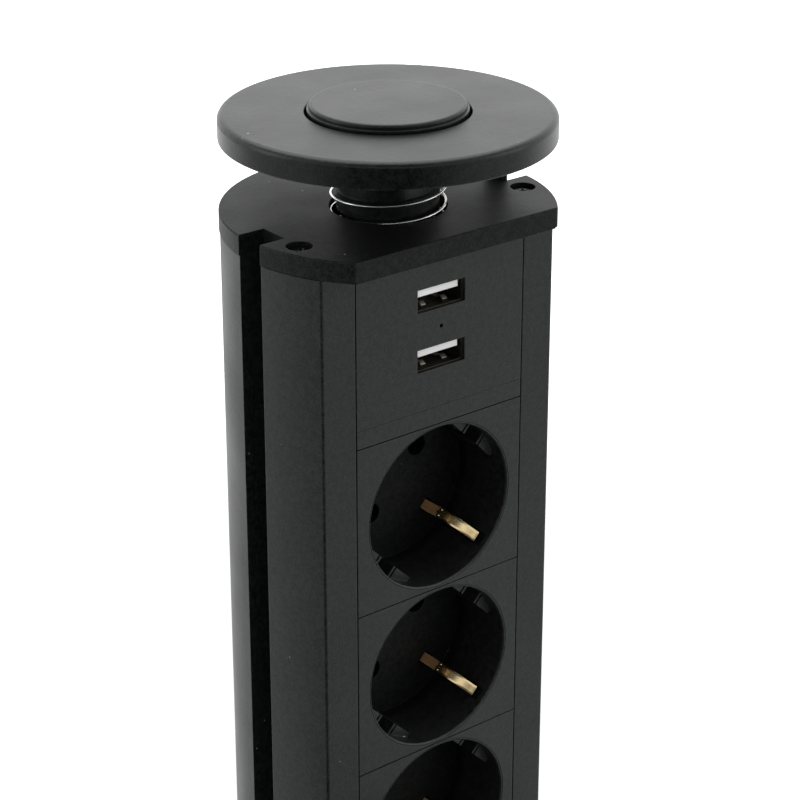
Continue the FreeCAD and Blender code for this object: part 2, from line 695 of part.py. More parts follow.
# Charging module: its face, shells, tongues, contacts, light, board and parts
plate_back = panel_y + s.plate_thickness
face_span = (s.cap_top - s.usb_face + s.seam, cap_under - s.fit_gap)
board_front = panel_y + s.shell_setback + s.shell_depth
board_back = board_front + s.board_thickness
board_span = (s.cap_top - s.board_low, s.cap_top - s.board_high)
light_z = (usb_z[0] + usb_z[1]) / 2
parts = [box("usb_face_box", (-panel_half, panel_half), (panel_y, plate_back), face_span)]
tools = [rod("usb_light_hole", s.light_radius, (panel_y, plate_back), "y", (0.0, light_z))]
pillars = []
for side, x in (("left", -pillar_x), ("right", pillar_x)):
    for level, z in (("low", board_span[0] + s.pillar_inset), ("high", board_span[1] - s.pillar_inset)):
        name = "pillar_%s_%s" % (side, level)
        pillars.append((name, (x, z)))
        parts.append(rod(name, s.pillar_radius, (plate_back, board_front), "y", (x, z)))
        tools.append(rod(name + "_bore", s.board_screw + s.fit_gap,
                         (board_front - s.board_screw_length * 1.2, board_front), "y", (x, z)))
for number, z in enumerate(usb_z):
    tools.append(box("usb_mouth_%d" % number, (-s.usb_width / 2, s.usb_width / 2), (panel_y, plate_back),
                     (z - s.usb_height / 2, z + s.usb_height / 2)))
piece(cut("usb_plate_cut", fuse("usb_plate_parts", parts), tools), "usb_plate")

shells = []
tongues = []
contacts = []
shell_front = panel_y + s.shell_setback
for number, z in enumerate(usb_z):
    half_x = s.usb_width / 2 - s.fit_gap
    half_z = s.usb_height / 2 - s.fit_gap
    span = (shell_front, board_front)
    name = "usb_shell_%d" % number
    shells.append(cut(name, box(name + "_outer", (-half_x, half_x), span, (z - half_z, z + half_z)), [
        box(name + "_inner", (-half_x + s.shell_wall, half_x - s.shell_wall), span,
            (z - half_z + s.shell_wall, z + half_z - s.shell_wall)),
    ]))
    roof = z + half_z - s.shell_wall
    name = "usb_tongue_%d" % number
    tongue_top = roof - s.tongue_drop
    tongue_low = tongue_top - s.tongue_thickness
    tongue_front = shell_front + s.tongue_setback
    block_front = board_front - s.tongue_base
    inner = half_x - s.shell_wall - s.fit_gap
    tongues.append(fuse(name, [
        box(name + "_blade", (-s.tongue_width / 2, s.tongue_width / 2), (tongue_front, board_front),
            (tongue_low, tongue_top)),
        box(name + "_block", (-inner, inner), (block_front, board_front),
            (z - half_z + s.shell_wall + s.fit_gap, roof - s.fit_gap)),
    ]))
    for place in range(4):
        x = s.contact_pitch * (place - 1.5)
        contacts.append(box(
            "usb_contact_%d_%d" % (number, place), (x - s.contact_width / 2, x + s.contact_width / 2),
            (tongue_front + 0.5, block_front), (tongue_low - s.contact_thickness, tongue_low)))
piece(group("usb_shell_pair", shells), "usb_shells")
piece(group("usb_tongue_pair", tongues), "usb_tongues")
piece(group("usb_contact_set", contacts), "usb_contacts")
piece(rod("usb_light", s.light_radius - s.fit_gap, (panel_y + 0.05, board_front), "y", (0.0, light_z)),
      "usb_light_pipe")

board = box("board_box", (-board_half, board_half), (board_front, board_back), board_span)
tools = []
screws = []
for name, at in pillars:
    hole = s.board_screw + s.fit_gap
    tools.append(rod(name + "_board_hole", hole, (board_front, board_back), "y", at))
    screws.append(fuse(name + "_screw", [
        rod(name + "_screw_shank", s.board_screw, (board_front - s.board_screw_length, board_back), "y", at),
        rod(name + "_screw_head", s.board_screw * 2, (board_back, board_back + 1.2), "y", at),
    ]))
piece(cut("board_cut", board, tools), "usb_board")
piece(group("board_screw_set", screws), "board_screws")
board_middle = (board_span[0] + board_span[1]) / 2
upper_middle = board_middle + s.capacitor_pitch * 0.62
transformer_low = board_middle - s.transformer_height * 0.643
controller_low = board_span[0] + s.board_screw * 0.63
parts_at = (board_back, board_back + s.capacitor_length)
piece(group("usb_component_set", [
    box("transformer", (-s.transformer_x - s.transformer_width / 2, -s.transformer_x + s.transformer_width / 2),
        (board_back, board_back + s.transformer_depth), (transformer_low, transformer_low + s.transformer_height)),
    rod("capacitor_upper", s.capacitor_radius, parts_at, "y", (s.capacitor_x, upper_middle)),
    rod("capacitor_lower", s.capacitor_radius, parts_at, "y", (s.capacitor_x, upper_middle - s.capacitor_pitch)),
    box("controller", (-s.controller_width / 2, s.controller_width / 2), (board_back, board_back + s.board_thickness),
        (controller_low, controller_low + s.controller_height)),
]), "usb_components")

strip_low = socket_z[0] + socket_half + s.strip_seam
piece(box("spacer_strip_box", (-panel_half, panel_half), (panel_y, plate_back),
          (strip_low, s.cap_top - s.usb_face - s.seam)), "spacer_strip")

# Sockets: a block with a round recess, two lands, two pin holes and two slots for the earth clips
recess_back = panel_y + s.recess_depth
block_back = recess_back + s.recess_floor
land_front = panel_y + s.land_setback
turn = Rotation(Vector(0, 1, 0), -s.socket_turn.value)


def turned_about_recess(obj):
    """Turns a shape that is drawn on the level line by the pins' angle."""
    obj.Placement = FreeCAD.Placement(Vector(0, 0, 0), turn)
    return obj


def socket_front(name, centre):
    """One socket, drawn around its recess's axis and then set at its height."""
    whole = (panel_y, recess_back)
    disc = rod(name + "_recess", s.recess_radius, whole, "y")
    lands = []
    for side, inner, outer in (("a", s.land_chord, far), ("b", -far, -s.land_chord)):
        for half, low, high in (("p", s.land_notch / 2, s.land_length / 2),
                                ("q", -s.land_length / 2, -s.land_notch / 2)):
            title = "%s_land_%s%s" % (name, side, half)
            solid_land = box(title, (inner, outer), (land_front, far), (low, high))
            beside = (low + s.land_rib, low + s.land_rib + s.land_groove)
            if half == "q":
                beside = (high - s.land_rib - s.land_groove, high - s.land_rib)
            groove = box(title + "_groove", (inner, outer), (land_front, land_front + s.land_groove_depth), beside)
            lands.append(cut(title + "_cut", solid_land, [groove]))
    recess = cut(name + "_recess_cut", disc, [turned_about_recess(fuse(name + "_lands", lands))])
    bevel = doc.addObject("Part::Cone", name + "_bevel")
    bevel.Placement = FreeCAD.Placement(Vector(0, 0, 0), Rotation(Vector(1, 0, 0), -90))
    bind(bevel, Radius1=s.recess_radius + s.recess_edge, Radius2=s.recess_radius, Height=s.recess_edge,
         Placement_y=panel_y)
    line_inner = s.recess_radius + s.recess_edge + s.rim_line_inset
    line_span = (panel_y, panel_y + s.rim_line_depth)
    rim_line = cut(name + "_rim_line", rod(name + "_rim_outer", line_inner + s.rim_line, line_span, "y"), [
        rod(name + "_rim_inner", line_inner, line_span, "y"),
    ])
    holes = []
    for side, x in (("a", s.pin_pitch / 2), ("b", -s.pin_pitch / 2)):
        holes.append(rod(name + "_pin_" + side, s.pin_hole, (recess_back, block_back), "y", (x, 0.0)))
    turned_holes = turned_about_recess(fuse(name + "_pins", holes))
    slots = []
    half = s.clip_slot_width / 2
    for side, sign in (("a", 1.0), ("b", -1.0)):
        ends = sorted((s.recess_radius.value * 0.9 * sign, s.clip_slot_outer.value * sign))
        wall = (s.recess_radius * 0.9 * sign, s.clip_slot_outer * sign)
        floor = ((s.clip_tail - 1.6) * sign, (s.clip_tail + 1.0) * sign)
        if sign < 0:
            wall = (wall[1], wall[0])
            floor = (floor[1], floor[0])
        slots.append(box("%s_slot_wall_%s" % (name, side), (-half, half), (panel_y + 1.5, recess_back), wall))
        slots.append(box("%s_slot_floor_%s" % (name, side), (-half, half), (recess_back, block_back), floor))
    turned_slots = turned_about_recess(fuse(name + "_slots", slots))
    block = box(name + "_block", (-panel_half, panel_half), (panel_y, block_back), (-socket_half, socket_half))
    tools = [recess, bevel, rim_line, turned_holes, turned_slots]
    return bind(cut(name + "_cut", block, tools), Placement_z=centre)


socket_names = ("socket_upper", "socket_middle", "socket_lower")
for name, centre in zip(socket_names, socket_z):
    piece(socket_front(name + "_front", centre), name)

# Earth clips: bent brass strips that lean into each recess from two sides
sleeve_back = block_back + s.sleeve_length
bar_front = sleeve_back
earth_front = sleeve_back + s.bar_step
tail = s.clip_tail.value


def clip_shape(centre, side):
    """A bent strip. It is drawn as (distance from the recess's axis, depth) and swept across."""
    back = recess_back.value
    depth = s.recess_depth.value
    route = [
        (tail, earth_front.value - s.fit_gap.value), (tail, back + 4.0), (tail, back + 1.0),
        (tail - 0.1, back - 0.13 * depth), (tail - 0.6, back - 0.276 * depth),
        (tail - 0.85, back - 0.33 * depth), (tail - 0.7, back - 0.4 * depth),
        (tail - 0.2, back - 0.506 * depth), (tail + 0.6, back - 0.6 * depth),
        (tail + 1.6, back - 0.67 * depth), (tail + 2.7, back - 0.7235 * depth),
        (tail + 3.8, back - 0.77 * depth), (tail + 4.7, back - 0.812 * depth),
        (tail + 5.05, back - 0.838 * depth),
    ]
    thick = s.clip_strip.value
    middle = Part.BSplineCurve()
    middle.interpolate([Vector(a, b, 0) for a, b in route])
    first, last = middle.FirstParameter, middle.LastParameter
    left = []
    right = []
    for number in range(41):
        at = first + (last - first) * number / 40
        point = middle.value(at)
        along = middle.tangent(at)[0]
        across = Vector(-along.y, along.x, 0).normalize() * (thick / 2)
        left.append(point + across)
        right.append(point - across)
    left_curve = Part.BSplineCurve()
    left_curve.interpolate(left)
    right_curve = Part.BSplineCurve()
    right_curve.interpolate(right)
    wire = Part.Wire([
        left_curve.toShape(), Part.LineSegment(left[-1], right[-1]).toShape(),
        right_curve.toShape(), Part.LineSegment(left[0], right[0]).toShape(),
    ])
    face = Part.Face(wire)
    width = s.clip_width.value
    solid = face.extrude(Vector(0, 0, width))
    solid.translate(Vector(0, 0, -width / 2))
    solid.rotate(Vector(0, 0, 0), Vector(0, 1, 0), 90.0 - s.socket_turn.value + (0.0 if side > 0 else 180.0))
    solid.translate(Vector(0, 0, centre.value))
    return solid


clips = []
for name, centre in zip(socket_names, socket_z):
    for side in (1, -1):
        strip_shape = doc.addObject("Part::Feature", "%s_earth_clip_%s" % (name, "a" if side > 0 else "b"))
        strip_shape.Shape = clip_shape(centre, side)
        clips.append(strip_shape)
piece(group("earth_clip_set", clips), "earth_clips")

# Contact sleeves behind the pin holes, and the bars that join them
cosine = math.cos(math.radians(s.socket_turn.value))
sine = math.sin(math.radians(s.socket_turn.value))
pin_x = s.pin_pitch * (cosine / 2)
pin_z = s.pin_pitch * (sine / 2)
sleeves = []
for name, centre in zip(socket_names, socket_z):
    for sign in (1.0, -1.0):
        title = "%s_sleeve_%s" % (name, "a" if sign > 0 else "b")
        at = (pin_x * sign, centre + pin_z * sign)
        span = (block_back, sleeve_back)
        sleeves.append(cut(title, rod(title + "_outer", s.sleeve_bore + s.sleeve_wall, span, "y", at), [
            rod(title + "_bore", s.sleeve_bore, span, "y", at),
        ]))
piece(group("sleeve_set", sleeves), "contact_sleeves")
block_top = tower_low + s.block_height
bar_half = s.bar_width / 2
cover = s.sleeve_bore + s.sleeve_wall
for title, sign in (("line_bar", 1.0), ("neutral_bar", -1.0)):
    piece(box(title + "_strip", (pin_x * sign - bar_half, pin_x * sign + bar_half),
              (bar_front, bar_front + s.bar_thickness),
              (block_top, socket_z[0] + pin_z * sign + cover)), title)
tail_x = s.clip_tail * sine
tail_z = s.clip_tail * cosine
span = (earth_front, earth_front + s.bar_thickness)
piece(fuse("earth_bar_parts", [
    box("earth_bar_right", (tail_x - bar_half, tail_x + bar_half), span, (block_top, socket_z[0] - tail_z + 1.5)),
    box("earth_bar_left", (-tail_x - bar_half, -tail_x + bar_half), span, (block_top, socket_z[0] + tail_z + 1.5)),
    box("earth_bar_cross", (-tail_x, tail_x), span, (block_top + 2.0, block_top + 6.0)),
]), "earth_bar")

# Lower end: terminal block, blank cover, bottom cap with its screws, and the cord's gland
block_y = (s.bay_back - s.block_gap - s.block_depth, s.bay_back - s.block_gap)
block = box("terminal_box", (-s.block_width / 2, s.block_width / 2), block_y, (tower_low, block_top))
wells = []
for number, x in enumerate((-8.5, 0.0, 8.5)):
    wells.append(rod("terminal_well_%d" % number, 2.2, (block_y[0], block_y[0] + 3.0), "y",
                     (x, block_top - s.block_height / 2)))
piece(cut("terminal_cut", block, wells), "terminal_block")
lowest_socket = socket_z[2] - socket_half
piece(box("blank_cover_box", (-panel_half, panel_half), (panel_y, panel_y + s.cover_thickness),
          (tower_low, lowest_socket - s.socket_seam / 2)), "blank_cover")
bottom_low = tower_low - s.bottom_thickness
gland_at = (0.0, -s.gland_y)
tools = [rod("bottom_gland_hole", s.gland_thread + s.fit_gap, (bottom_low, tower_low), "z", gland_at)]
for side, x in (("left", -screw_x), ("right", screw_x)):
    at = (x, -s.screw_y)
    tools.append(rod("bottom_screw_well_" + side, s.screw_well,
                     (bottom_low, bottom_low + s.screw_well_depth), "z", at))
    tools.append(rod("bottom_screw_hole_" + side, s.screw_shank + s.slide_gap, (bottom_low, tower_low), "z", at))
piece(cut("bottom_cut", rod("bottom_round", bottom_radius, (bottom_low, tower_low)), tools), "bottom_cap")
seat = bottom_low + s.screw_well_depth
piece(group("bottom_screw_pair", [
    cross_screw("bottom_screw_left", (-screw_x, -s.screw_y), seat, False),
    cross_screw("bottom_screw_right", (screw_x, -s.screw_y), seat, False),
]), "bottom_screws")
flange_low = bottom_low - s.gland_flange
piece(cut("gland_cut", fuse("gland_parts", [
    hexagon("gland_hexagon", s.gland_hex, (flange_low, bottom_low), gland_at),
    rod("gland_neck", s.gland_thread, (bottom_low, tower_low + s.gland_flange + 1.5), "z", gland_at),
]), [
    rod("gland_hole", s.gland_bore, (flange_low, tower_low + s.gland_flange + 1.5), "z", gland_at),
]), "cable_gland")
span = (tower_low, tower_low + s.gland_flange)
piece(cut("gland_nut_cut", hexagon("gland_nut_hexagon", s.gland_hex, span, gland_at), [
    rod("gland_nut_hole", s.gland_thread + s.fit_gap, span, "z", gland_at),
]), "gland_nut")
dome = turned("gland_dome_body", [
    (s.gland_bore, 0.0), (s.gland_dome_radius * 0.72, 0.0), (s.gland_dome_radius, s.gland_dome_height * 0.35),
    (s.gland_dome_radius, s.gland_dome_height), (s.gland_bore, s.gland_dome_height),
], flange_low - s.gland_dome_height)
bind(dome, Placement_y=gland_at[1])
piece(dome, "gland_dome")

# Collar in the desk hole: flange, sleeve, guide keys, gasket, wiper ring, brake plunger, clamp ring
flange_under = s.gasket_thickness
flange_top = flange_under + s.flange_thickness
up = flange_top - sleeve_low
groove_top = -s.wiper_top - sleeve_low
groove_low = groove_top - s.wiper_height
ring = turned("collar_ring", [
    (collar_bore, 0.0), (collar_outer, 0.0), (collar_outer, flange_under - sleeve_low),
    (flange_radius, flange_under - sleeve_low), (flange_radius, up - s.flange_bevel),
    (flange_radius - s.flange_bevel, up), (collar_bore + s.flange_bevel, up),
    (collar_bore, up - s.flange_bevel), (collar_bore, groove_top), (wiper_groove, groove_top),
    (wiper_groove, groove_low), (collar_bore, groove_low),
], sleeve_low)
key_half = s.key_width / 2
key_span = (-s.key_top - s.key_length, -s.key_top)
key_outer = collar_bore + s.collar_wall / 3
collar = fuse("collar_with_keys", [
    ring,
    box("key_left", (-key_outer, -key_inner), (-key_half, key_half), key_span),
    box("key_right", (key_inner, key_outer), (-key_half, key_half), key_span),
])
plunger_at = (0.0, -s.plunger_drop)
piece(cut("collar_cut", collar, [
    rod("plunger_hole", s.plunger_radius + s.slide_gap, (-far, -key_inner + 1.0), "x", plunger_at),
]), "collar")
piece(rod("brake_plunger_rod", s.plunger_radius, (-plunger_outer, -slot_floor - s.slide_gap), "x", plunger_at),
      "brake_plunger")
piece(turned("flange_gasket_body", [
    (gasket_inner, 0.0), (gasket_outer, 0.0), (gasket_outer, s.gasket_thickness),
    (gasket_inner, s.gasket_thickness),
], term(0.0)), "flange_gasket")
piece(turned("wiper_ring_body", [
    (wiper_bore, 0.0), (wiper_groove - s.fit_gap, 0.0),
    (wiper_groove - s.fit_gap, s.wiper_height - s.fit_gap * 2), (wiper_bore, s.wiper_height - s.fit_gap * 2),
], -s.wiper_top - s.wiper_height + s.fit_gap), "wiper_ring")

# Clamp ring: a ring nut on the sleeve with finger grips around it
clamp = doc.addObject("PartDesign::Body", "clamp_body")
sketch = clamp.newObject("Sketcher::SketchObject", "clamp_sketch")
sketch.AttachmentSupport = [(plane_of(clamp, "XY_Plane"), "")]
sketch.MapMode = "FlatFace"
for radius in (clamp_outer, collar_outer + s.clamp_gap):
    index = sketch.addGeometry(Part.Circle(Vector(0, 0, 0), Vector(0, 0, 1), radius.value), False)
    sketch.addConstraint(Sketcher.Constraint("Coincident", index, 3, -1, 1))
    index = sketch.addConstraint(Sketcher.Constraint("Radius", index, radius.value))
    sketch.setExpression("Constraints[%d]" % index, radius.text)
pad = clamp.newObject("PartDesign::Pad", "clamp_pad")
pad.Profile = sketch
bind(pad, Length=s.clamp_height)
grip = clamp.newObject("Sketcher::SketchObject", "grip_sketch")
grip.AttachmentSupport = [(plane_of(clamp, "XY_Plane"), "")]
grip.MapMode = "FlatFace"
place = clamp_outer + s.clamp_grip * 0.35
index = grip.addGeometry(Part.Circle(Vector(place.value, 0, 0), Vector(0, 0, 1), s.clamp_grip.value), False)
grip.addConstraint(Sketcher.Constraint("PointOnObject", index, 3, -1))
number = grip.addConstraint(Sketcher.Constraint("DistanceX", -1, 1, index, 3, place.value))
grip.setExpression("Constraints[%d]" % number, place.text)
number = grip.addConstraint(Sketcher.Constraint("Radius", index, s.clamp_grip.value))
grip.setExpression("Constraints[%d]" % number, s.clamp_grip.text)
pocket = clamp.newObject("PartDesign::Pocket", "grip_pocket")
pocket.Profile = grip
pocket.Reversed = True
bind(pocket, Length=s.clamp_height)
pattern = clamp.newObject("PartDesign::PolarPattern", "grip_pattern")
pattern.Originals = [pocket]
pattern.Axis = (grip, ["N_Axis"])
pattern.Angle = 360.0
pattern.Occurrences = 20
clamp.Tip = pattern
bind(clamp, Placement_z=-s.clamp_top - s.clamp_height)
piece(clamp, "clamp_ring")
doc.recompute()
print("clamp pad %.1f mm3, with grips %.1f mm3" % (pad.Shape.Volume, pattern.Shape.Volume))
if pattern.Shape.Volume > pad.Shape.Volume - 20.0:
    raise RuntimeError("the grips cut nothing")

# Lid spring: one unbroken wire around the shaft, with a closed turn at each end
wire = s.spring_wire.value
coil_radius = s.spring_radius.value - wire / 2
coil_low = well_floor.value + s.soft_gap.value + wire / 2
coil_high = lid_under.value - s.soft_gap.value - wire / 2
end_pitch = s.spring_end_pitch.value
open_turns = s.spring_turns.value
open_pitch = (coil_high - coil_low - 2 * end_pitch) / open_turns
all_turns = open_turns + 2.0


def coil_height(turns):
    """Height of the wire after so many turns. The pitch changes over a quarter turn."""
    height = coil_low + end_pitch * min(turns, 1.0)
    height += open_pitch * max(0.0, min(turns - 1.0, open_turns))
    height += end_pitch * max(0.0, turns - 1.0 - open_turns)
    return height


def coil_point(turns):
    angle = math.radians(s.spring_start.value) + 2 * math.pi * turns
    low, high = max(0.0, turns - 0.125), min(all_turns, turns + 0.125)
    height = (coil_height(low) + 2 * coil_height(turns) + coil_height(high)) / 4
    return Vector(coil_radius * math.cos(angle), coil_radius * math.sin(angle), height)


def coil_tangent(turns):
    step = 1e-4
    return (coil_point(turns + step) - coil_point(turns - step)).normalize()


def arc_between(start, corner, end):
    """The arc that touches both legs of a triangle with two equal legs."""
    middle = (start + end) * 0.5
    weight = (middle - start).Length / (corner - start).Length
    return Part.Arc(start, (middle + corner * weight) * (1.0 / (1.0 + weight)), end).toShape()


edges = []
steps = int(round(all_turns * 4))
turn_marks = [all_turns * n / steps for n in range(steps + 1)]
marks = [(coil_point(t), coil_tangent(min(max(t, 1e-3), all_turns - 1e-3))) for t in turn_marks]
edges.append(Part.LineSegment(marks[0][0] - marks[0][1] * wire, marks[0][0]).toShape())
for (a, ta), (b, tb) in zip(marks, marks[1:]):
    chord = b - a
    both = ta + tb
    spread = 2.0 * (1.0 - ta.dot(tb))
    lean = chord.dot(both)
    reach = (-lean + math.sqrt(lean * lean + spread * chord.dot(chord))) / spread
    first_corner = a + ta * reach
    second_corner = b - tb * reach
    join = (first_corner + second_corner) * 0.5
    edges.append(arc_between(a, first_corner, join))
    edges.append(arc_between(join, second_corner, b))
edges.append(Part.LineSegment(marks[-1][0], marks[-1][0] + marks[-1][1] * wire).toShape())
route = Part.Wire(edges)
start = marks[0][0] - marks[0][1] * wire
section = Part.Wire([Part.Circle(start, marks[0][1], wire / 2).toShape()])
pipe = Part.BRepOffsetAPI.MakePipeShell(route)
pipe.add(section)
pipe.build()
pipe.makeSolid()
coil = pipe.shape()
if coil.ShapeType != "Solid":
    coil = coil.Solids[0]
least = 1e9
samples = []
for n in range(int(all_turns * 48) + 1):
    samples.append((n / 48.0, coil_point(n / 48.0)))
for index, (turns_a, a) in enumerate(samples):
    for turns_b, b in samples[index + 24:]:
        least = min(least, (a - b).Length - wire)
expected = math.pi * (wire / 2) ** 2 * route.Length
print("spring: %.2f turns, open pitch %.2f mm, least gap %.3f mm, volume %.2f of %.2f mm3, %s" % (
    all_turns, open_pitch, least, coil.Volume, expected, coil.ShapeType))
spring = doc.addObject("Part::Feature", "lid_spring_wire")
spring.Shape = coil
piece(spring, "lid_spring")

# Checks and export
doc.recompute()
for obj in doc.Objects:
    if "Invalid" in obj.State or "Error" in obj.State:
        raise RuntimeError("%s failed: %s" % (obj.Name, obj.State))
os.makedirs("parts", exist_ok=True)
for obj in pieces:
    shape = obj.Shape
    if shape.isNull() or not shape.isValid() or not shape.Solids:
        raise RuntimeError("%s has no valid shape" % obj.Label)
for obj in pieces:
    obj.Shape.exportStep(os.path.join("parts", obj.Label + ".step"))
    bounds = obj.Shape.BoundBox
    print("%-16s %2d solids %10.1f mm3  x %.1f..%.1f  y %.1f..%.1f  z %.1f..%.1f" % (
        obj.Label, len(obj.Shape.Solids), obj.Shape.Volume, bounds.XMin, bounds.XMax,
        bounds.YMin, bounds.YMax, bounds.ZMin, bounds.ZMax))
print("%d pieces" % len(pieces))
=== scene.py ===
"""Looks of a pop-up power tower for a desk hole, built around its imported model.

Metres. Z points up, z = 0 is the desk's top face, and the sockets face -Y.
"""

import logging
import math
from collections.abc import Callable, Iterable
from dataclasses import dataclass
from enum import Enum

import bmesh
import bpy
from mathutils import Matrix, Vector


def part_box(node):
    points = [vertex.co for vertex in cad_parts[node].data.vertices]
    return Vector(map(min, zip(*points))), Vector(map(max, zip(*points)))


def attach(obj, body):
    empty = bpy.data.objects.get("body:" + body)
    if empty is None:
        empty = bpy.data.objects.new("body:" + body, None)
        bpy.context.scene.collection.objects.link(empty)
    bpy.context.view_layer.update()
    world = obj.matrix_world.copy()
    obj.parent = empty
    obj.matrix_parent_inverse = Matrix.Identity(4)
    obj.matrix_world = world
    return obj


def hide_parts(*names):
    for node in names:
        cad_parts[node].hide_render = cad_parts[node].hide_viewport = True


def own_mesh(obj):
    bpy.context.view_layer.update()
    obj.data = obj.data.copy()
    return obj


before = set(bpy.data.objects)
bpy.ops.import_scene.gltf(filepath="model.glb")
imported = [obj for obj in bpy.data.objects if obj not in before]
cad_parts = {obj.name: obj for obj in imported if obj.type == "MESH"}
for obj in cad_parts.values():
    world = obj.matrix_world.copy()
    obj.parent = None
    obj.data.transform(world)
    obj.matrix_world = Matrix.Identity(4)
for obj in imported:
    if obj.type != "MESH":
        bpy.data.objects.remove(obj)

log = logging.getLogger("power_tower")
MM = 0.001
FULL_TURN = 2 * math.pi
Colour = tuple[float, float, float]
Point = tuple[float, float, float]
Pair = tuple[float, float]
Thing = bpy.types.Object
Socket = bpy.types.NodeSocket
Sockets = bpy.types.bpy_prop_collection
Tree = bpy.types.NodeTree
WHITE: Colour = (1.0, 1.0, 1.0)
UNSTRETCHED: Point = (1.0, 1.0, 1.0)


class Body(Enum):
    """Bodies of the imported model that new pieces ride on."""

    COLLAR = "collar"
    TOWER = "tower"
    LID = "lid"


def scaled(numbers: Point, factor: float) -> Point:
    """A colour or a place with each of its parts times a factor."""
    return tuple(part * factor for part in numbers)


class Graph:
    """Nodes of a material, a group or the world, with short ways to add and link them."""

    def __init__(self, tree: Tree) -> None:
        """Takes the node tree to fill."""
        self.tree = tree

    @classmethod
    def fresh(cls, owner: bpy.types.ID) -> "Graph":
        """Empties the nodes of a material or of the world.

        Args:
            owner: what the nodes belong to.

        Returns:
            Its empty graph.
        """
        owner.use_nodes = True
        owner.node_tree.nodes.clear()
        return cls(owner.node_tree)

    def feed(self, socket: Socket, value: object) -> None:
        """Links an output into a socket, or sets the socket's own value.

        Args:
            socket: the input to fill.
            value: another node's output, a number or a tuple.
        """
        if isinstance(value, Socket):
            self.tree.links.new(value, socket)
        elif isinstance(value, tuple) and len(value) == 3 and socket.type == "RGBA":
            socket.default_value = (*value, 1.0)
        else:
            socket.default_value = value

    def add(self, kind: str, values: dict[object, object] | None = None,
            **settings: object) -> bpy.types.Node:
        """Adds one node.

        Args:
            kind: Blender's name of the node type.
            values: inputs by name or number.
            settings: properties of the node itself.

        Returns:
            The new node.
        """
        node = self.tree.nodes.new(kind)
        for name, value in settings.items():
            setattr(node, name, value)
        for key, value in (values or {}).items():
            self.feed(node.inputs[key], value)
        return node

    def group(self, tree: Tree, **inputs: object) -> Sockets:
        """Uses a shared group, with its inputs by name, and gives its outputs."""
        return self.add("ShaderNodeGroup", inputs, node_tree=tree).outputs

    def calc(self, operation: str, *values: object, clamp: bool = False) -> Socket:
        """A Math node's result from its inputs in order, kept from 0 to 1 where clamped."""
        inputs = dict(enumerate(values))
        return self.add("ShaderNodeMath", inputs, operation=operation, use_clamp=clamp).outputs[0]

    def vector(self, operation: str, *values: object) -> Sockets:
        """A Vector Math node's outputs, from its inputs in order."""
        return self.add("ShaderNodeVectorMath", dict(enumerate(values)), operation=operation).outputs

    def axis(self, where: Socket, letter: str) -> Socket:
        """One coordinate of a place or direction."""
        return self.add("ShaderNodeSeparateXYZ", {0: where}).outputs[letter]

    def blend(self, share: object, first: object, second: object) -> Socket:
        """Mixes two colours: a share of 0 gives the first and 1 the second."""
        return self.add("ShaderNodeMix", {0: share, 6: first, 7: second}, data_type="RGBA").outputs[2]

    def ramp(self, value: object, low: float, high: float, start: float = 0.0, end: float = 1.0,
             smooth: bool = False) -> Socket:
        """Maps a value from one range to another and keeps it there.

        Args:
            value: the number to map.
            low: where the range starts.
            high: where the range ends.
            start: result at low.
            end: result at high.
            smooth: whether the step is eased.

        Returns:
            The mapped number.
        """
        style = "SMOOTHSTEP" if smooth else "LINEAR"
        inputs = {0: value, 1: low, 2: high, 3: start, 4: end}
        return self.add("ShaderNodeMapRange", inputs, interpolation_type=style).outputs[0]

    def place(self, stretch: Point = UNSTRETCHED) -> Socket:
        """Object coordinates, stretched along the axes.

        Args:
            stretch: factor along each axis.

        Returns:
            The coordinates.
        """
        here = self.add("ShaderNodeTexCoord").outputs["Object"]
        if stretch == UNSTRETCHED:
            return here
        return self.add("ShaderNodeMapping", {"Vector": here, "Scale": stretch}).outputs[0]

    def noise(self, where: object, scale: object, detail: float = 3.0, rough: float = 0.5) -> Socket:
        """A noise texture's value, about 0.5 on average, from its scale and finer layers."""
        inputs = {"Vector": where, "Scale": scale, "Detail": detail, "Roughness": rough}
        return self.add("ShaderNodeTexNoise", inputs).outputs[0]

    def bump(self, height: object, depth: float, strength: float = 1.0,
             normal: object | None = None) -> Socket:
        """A normal that follows a fine relief.

        Args:
            height: the relief, from 0 to 1.
            depth: its depth in metres.
            strength: how much of it shows.
            normal: the normal that it starts from.

        Returns:
            The normal.
        """
        inputs = {"Height": height, "Distance": depth, "Strength": strength}
        if normal is not None:
            inputs["Normal"] = normal
        return self.add("ShaderNodeBump", inputs).outputs[0]


class EffectGroup(Graph):
    """A shader node group that takes coordinates and one number, for several finishes to use."""

    def __init__(self, name: str, measure: str, value: float) -> None:
        """Starts the group.

        Args:
            name: its name.
            measure: name of the number that it takes.
            value: what that number is by itself.
        """
        super().__init__(bpy.data.node_groups.new(name, "ShaderNodeTree"))
        self.open_socket("Place", "INPUT", "NodeSocketVector")
        self.open_socket(measure, "INPUT", "NodeSocketFloat").default_value = value
        start = self.add("NodeGroupInput").outputs
        self.where = start["Place"]
        self.measure = start[measure]

    def open_socket(self, name: str, side: str, kind: str) -> bpy.types.NodeTreeInterfaceSocket:
        """Gives the group one more input or output."""
        return self.tree.interface.new_socket(name, in_out=side, socket_type=kind)

    def close(self, **results: Socket) -> Tree:
        """Gives the group its outputs.

        Args:
            results: what they give, by name.

        Returns:
            The finished group.
        """
        for name, result in results.items():
            kind = "NodeSocketVector" if result.type == "VECTOR" else "NodeSocketFloat"
            self.open_socket(name, "OUTPUT", kind)
        self.add("NodeGroupOutput", results)
        return self.tree


